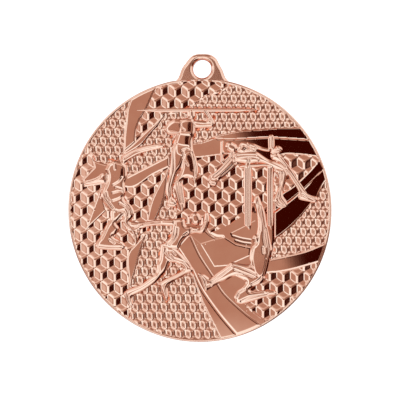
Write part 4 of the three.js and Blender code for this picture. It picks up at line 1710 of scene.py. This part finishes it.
def grounds() -> list[Ground]:
    """Every textured ground, in the order that it is made.

    Returns:
        The grounds, coarse ones first.
    """
    ring = Borders.ring
    coarse = {
        "top": ring("sweep_right", ((-12.1, 13.0), (-9.9, 15.1)), "top_seam"),
        "left": ring(
            "left_seam", "left_notch", "band_under", "steep_left", "narrow_left", "low_seam",
            ((-27, -14), (-31, 0), (-27, 12)),
        ),
        "centre": ring("-leg_seam", ((-2.3, 10.2),), "broad_under", "-middle_top"),
        "right": ring("broad_right", "-rising_top"),
        "lower_right": ring("turn_under", ((24, -20),), "-track_right"),
    }
    fine = {
        "upper_left": (
            (-17.8, 13.42),
            ring(
                "left_seam",
                ((-18.6, 8.9), (-16.6, 8.4), (-14.2, 9.0), (-14.2, 10.4)),
                "-sweep_left",
                ((-22, 24),),
            ),
        ),
        "left": (
            (-9.0, 13.22),
            ring(
                "diagonal_under",
                ((-14.2, 9.0), (-13.6, 6.3), (-5.7, 10.3), (-5.4, 10.4), (-2.3, 12.5), (-2.5, 19.3)),
            ),
        ),
        "top": (
            (9.8, 19.67),
            ring(
                ((5.9, 25.9), (5.2, 23.3), (0.6, 21.4), (-2.5, 19.3)), "broad_top", "wedge_top", ((20, 26),)
            ),
        ),
        "inner": ((-6.5, -0.38), ring("steep_right", ((-4.2, -2.2),), "-leg_seam")),
        "bottom": (
            (-4.4, -18.13),
            ring("narrow_right", "low_seam", ((-5, -30),), "-track_left", ((-4.2, -2.8), (-9.6, -2.8))),
        ),
        "right": ((22.0, -0.33), ring("rising_under", ((30, 0),), "-turn_top")),
    }
    made = [Ground("ground_coarse_" + name, COARSE, COARSE_PEAK, outline) for name, outline in coarse.items()]
    made += [Ground("ground_fine_" + name, FINE, peak, outline) for name, (peak, outline) in fine.items()]
    return made


def smooth_bands() -> list[Smooth]:
    """Every smooth band, lane and panel.

    Returns:
        The bands, in the order that they are made.
    """
    ring = Borders.ring
    panel = Borders.panel
    bands = {
        "ribbon_sweep": ring("-sweep_left", "sweep_right", ((-12.9, 12.3),)),
        "ribbon_diagonal": ring("diagonal_top", "diagonal_under"),
        "ribbon_band": ring("band_top", ((-5.6, 8.25),), "-band_under"),
        "ribbon_band_end": ring("left_notch", ((-16.6, 5.2), (-16.6, 8.4), (-18.6, 8.9))),
        "ribbon_steep": ring("steep_left", "-steep_right"),
        "ribbon_narrow": ring("narrow_left", "-narrow_right"),
        "ribbon_wedge": ring("wedge_top", "-wedge_under"),
        "ribbon_broad": ring("broad_top", "wedge_under", ((26, 11.5),), "-broad_right", "-broad_under"),
        "ribbon_rising_upper": ring("rising_top", "-rising_mid"),
        "ribbon_rising_lower": ring("rising_mid", "-rising_under"),
        "ribbon_turn": ring("turn_top", "-turn_under", ((11, -9),)),
        "ribbon_middle": ring(
            "middle_top", ((14.2, -5.5), (13.6, -9.2), (11, -9)), panel[5::-1], ((-1.4, -4.9), (-2, -4.6))
        ),
        "ribbon_flag": ring("flag"),
        "track_panel": ring("panel"),
        "track_lane_inner": ring("lane_one", Borders.track_left[:1:-1]),
        "track_lane_middle": ring(Borders.track_left[:3], "lane_one", "-lane_two"),
        "track_lane_outer": ring("lane_two", "-track_right", (panel[5], panel[6], panel[7], panel[0])),
    }
    special = {
        "track_lane_inner": {"level": -1.55, "foot": -1.52},
        "track_lane_middle": {"foot": -1.61, "width": 0.45},
        "track_lane_outer": {"level": -1.55, "foot": -1.55},
        "ribbon_rising_lower": {"lean": (0.03, 0.0), "width": 0.24},
        "ribbon_rising_upper": {"lean": (0.02, 0.0), "width": 0.24},
        "ribbon_wedge": {"width": 0.12},
        "ribbon_broad": {"width": 0.2},
        "ribbon_middle": {
            "foot": -1.69,
            "creases": (
                fold(0.12, 0.24, (1.0, -3.3), (2.2, -4.4), (3.3, -5.0), (4.5, -5.1)),
                fold(0.02, 0.15, (6.2, -4.4), (8.4, -3.3), (10.6, -2.1)),
                fold(0.03, 0.15, (6.4, -4.8), (8.0, -5.3), (9.8, -5.6)),
                fold(0.03, 0.15, (7.0, -5.7), (8.3, -6.1), (9.8, -6.3)),
            ),
        },
        "track_panel": {"level": -1.62, "width": 0.24},
    }
    return [Smooth(node, outline, **special.get(node, {})) for node, outline in bands.items()]


def main() -> None:
    """Builds the medal and its studio."""
    logging.basicConfig(level=logging.INFO, format="%(name)s %(message)s")
    seat = Seat.of("medal_blank")
    studio = Studio(seat)
    studio.camera()
    studio.light()
    shop = Shop(seat)
    Blank().build(shop)
    Loop().build(shop)
    relief = BlockTree(seat).build()
    for ground in grounds():
        ground.build(shop, relief)
    for band in smooth_bands():
        band.build(shop)
    for figure in (JAVELIN, THROWER, JUMPER, HURDLE, HURDLER, SPRINTER, LEAPER):
        figure.build(shop)
    low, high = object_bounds()
    studio.floor(low.z)


if __name__ == "__main__":
    main()
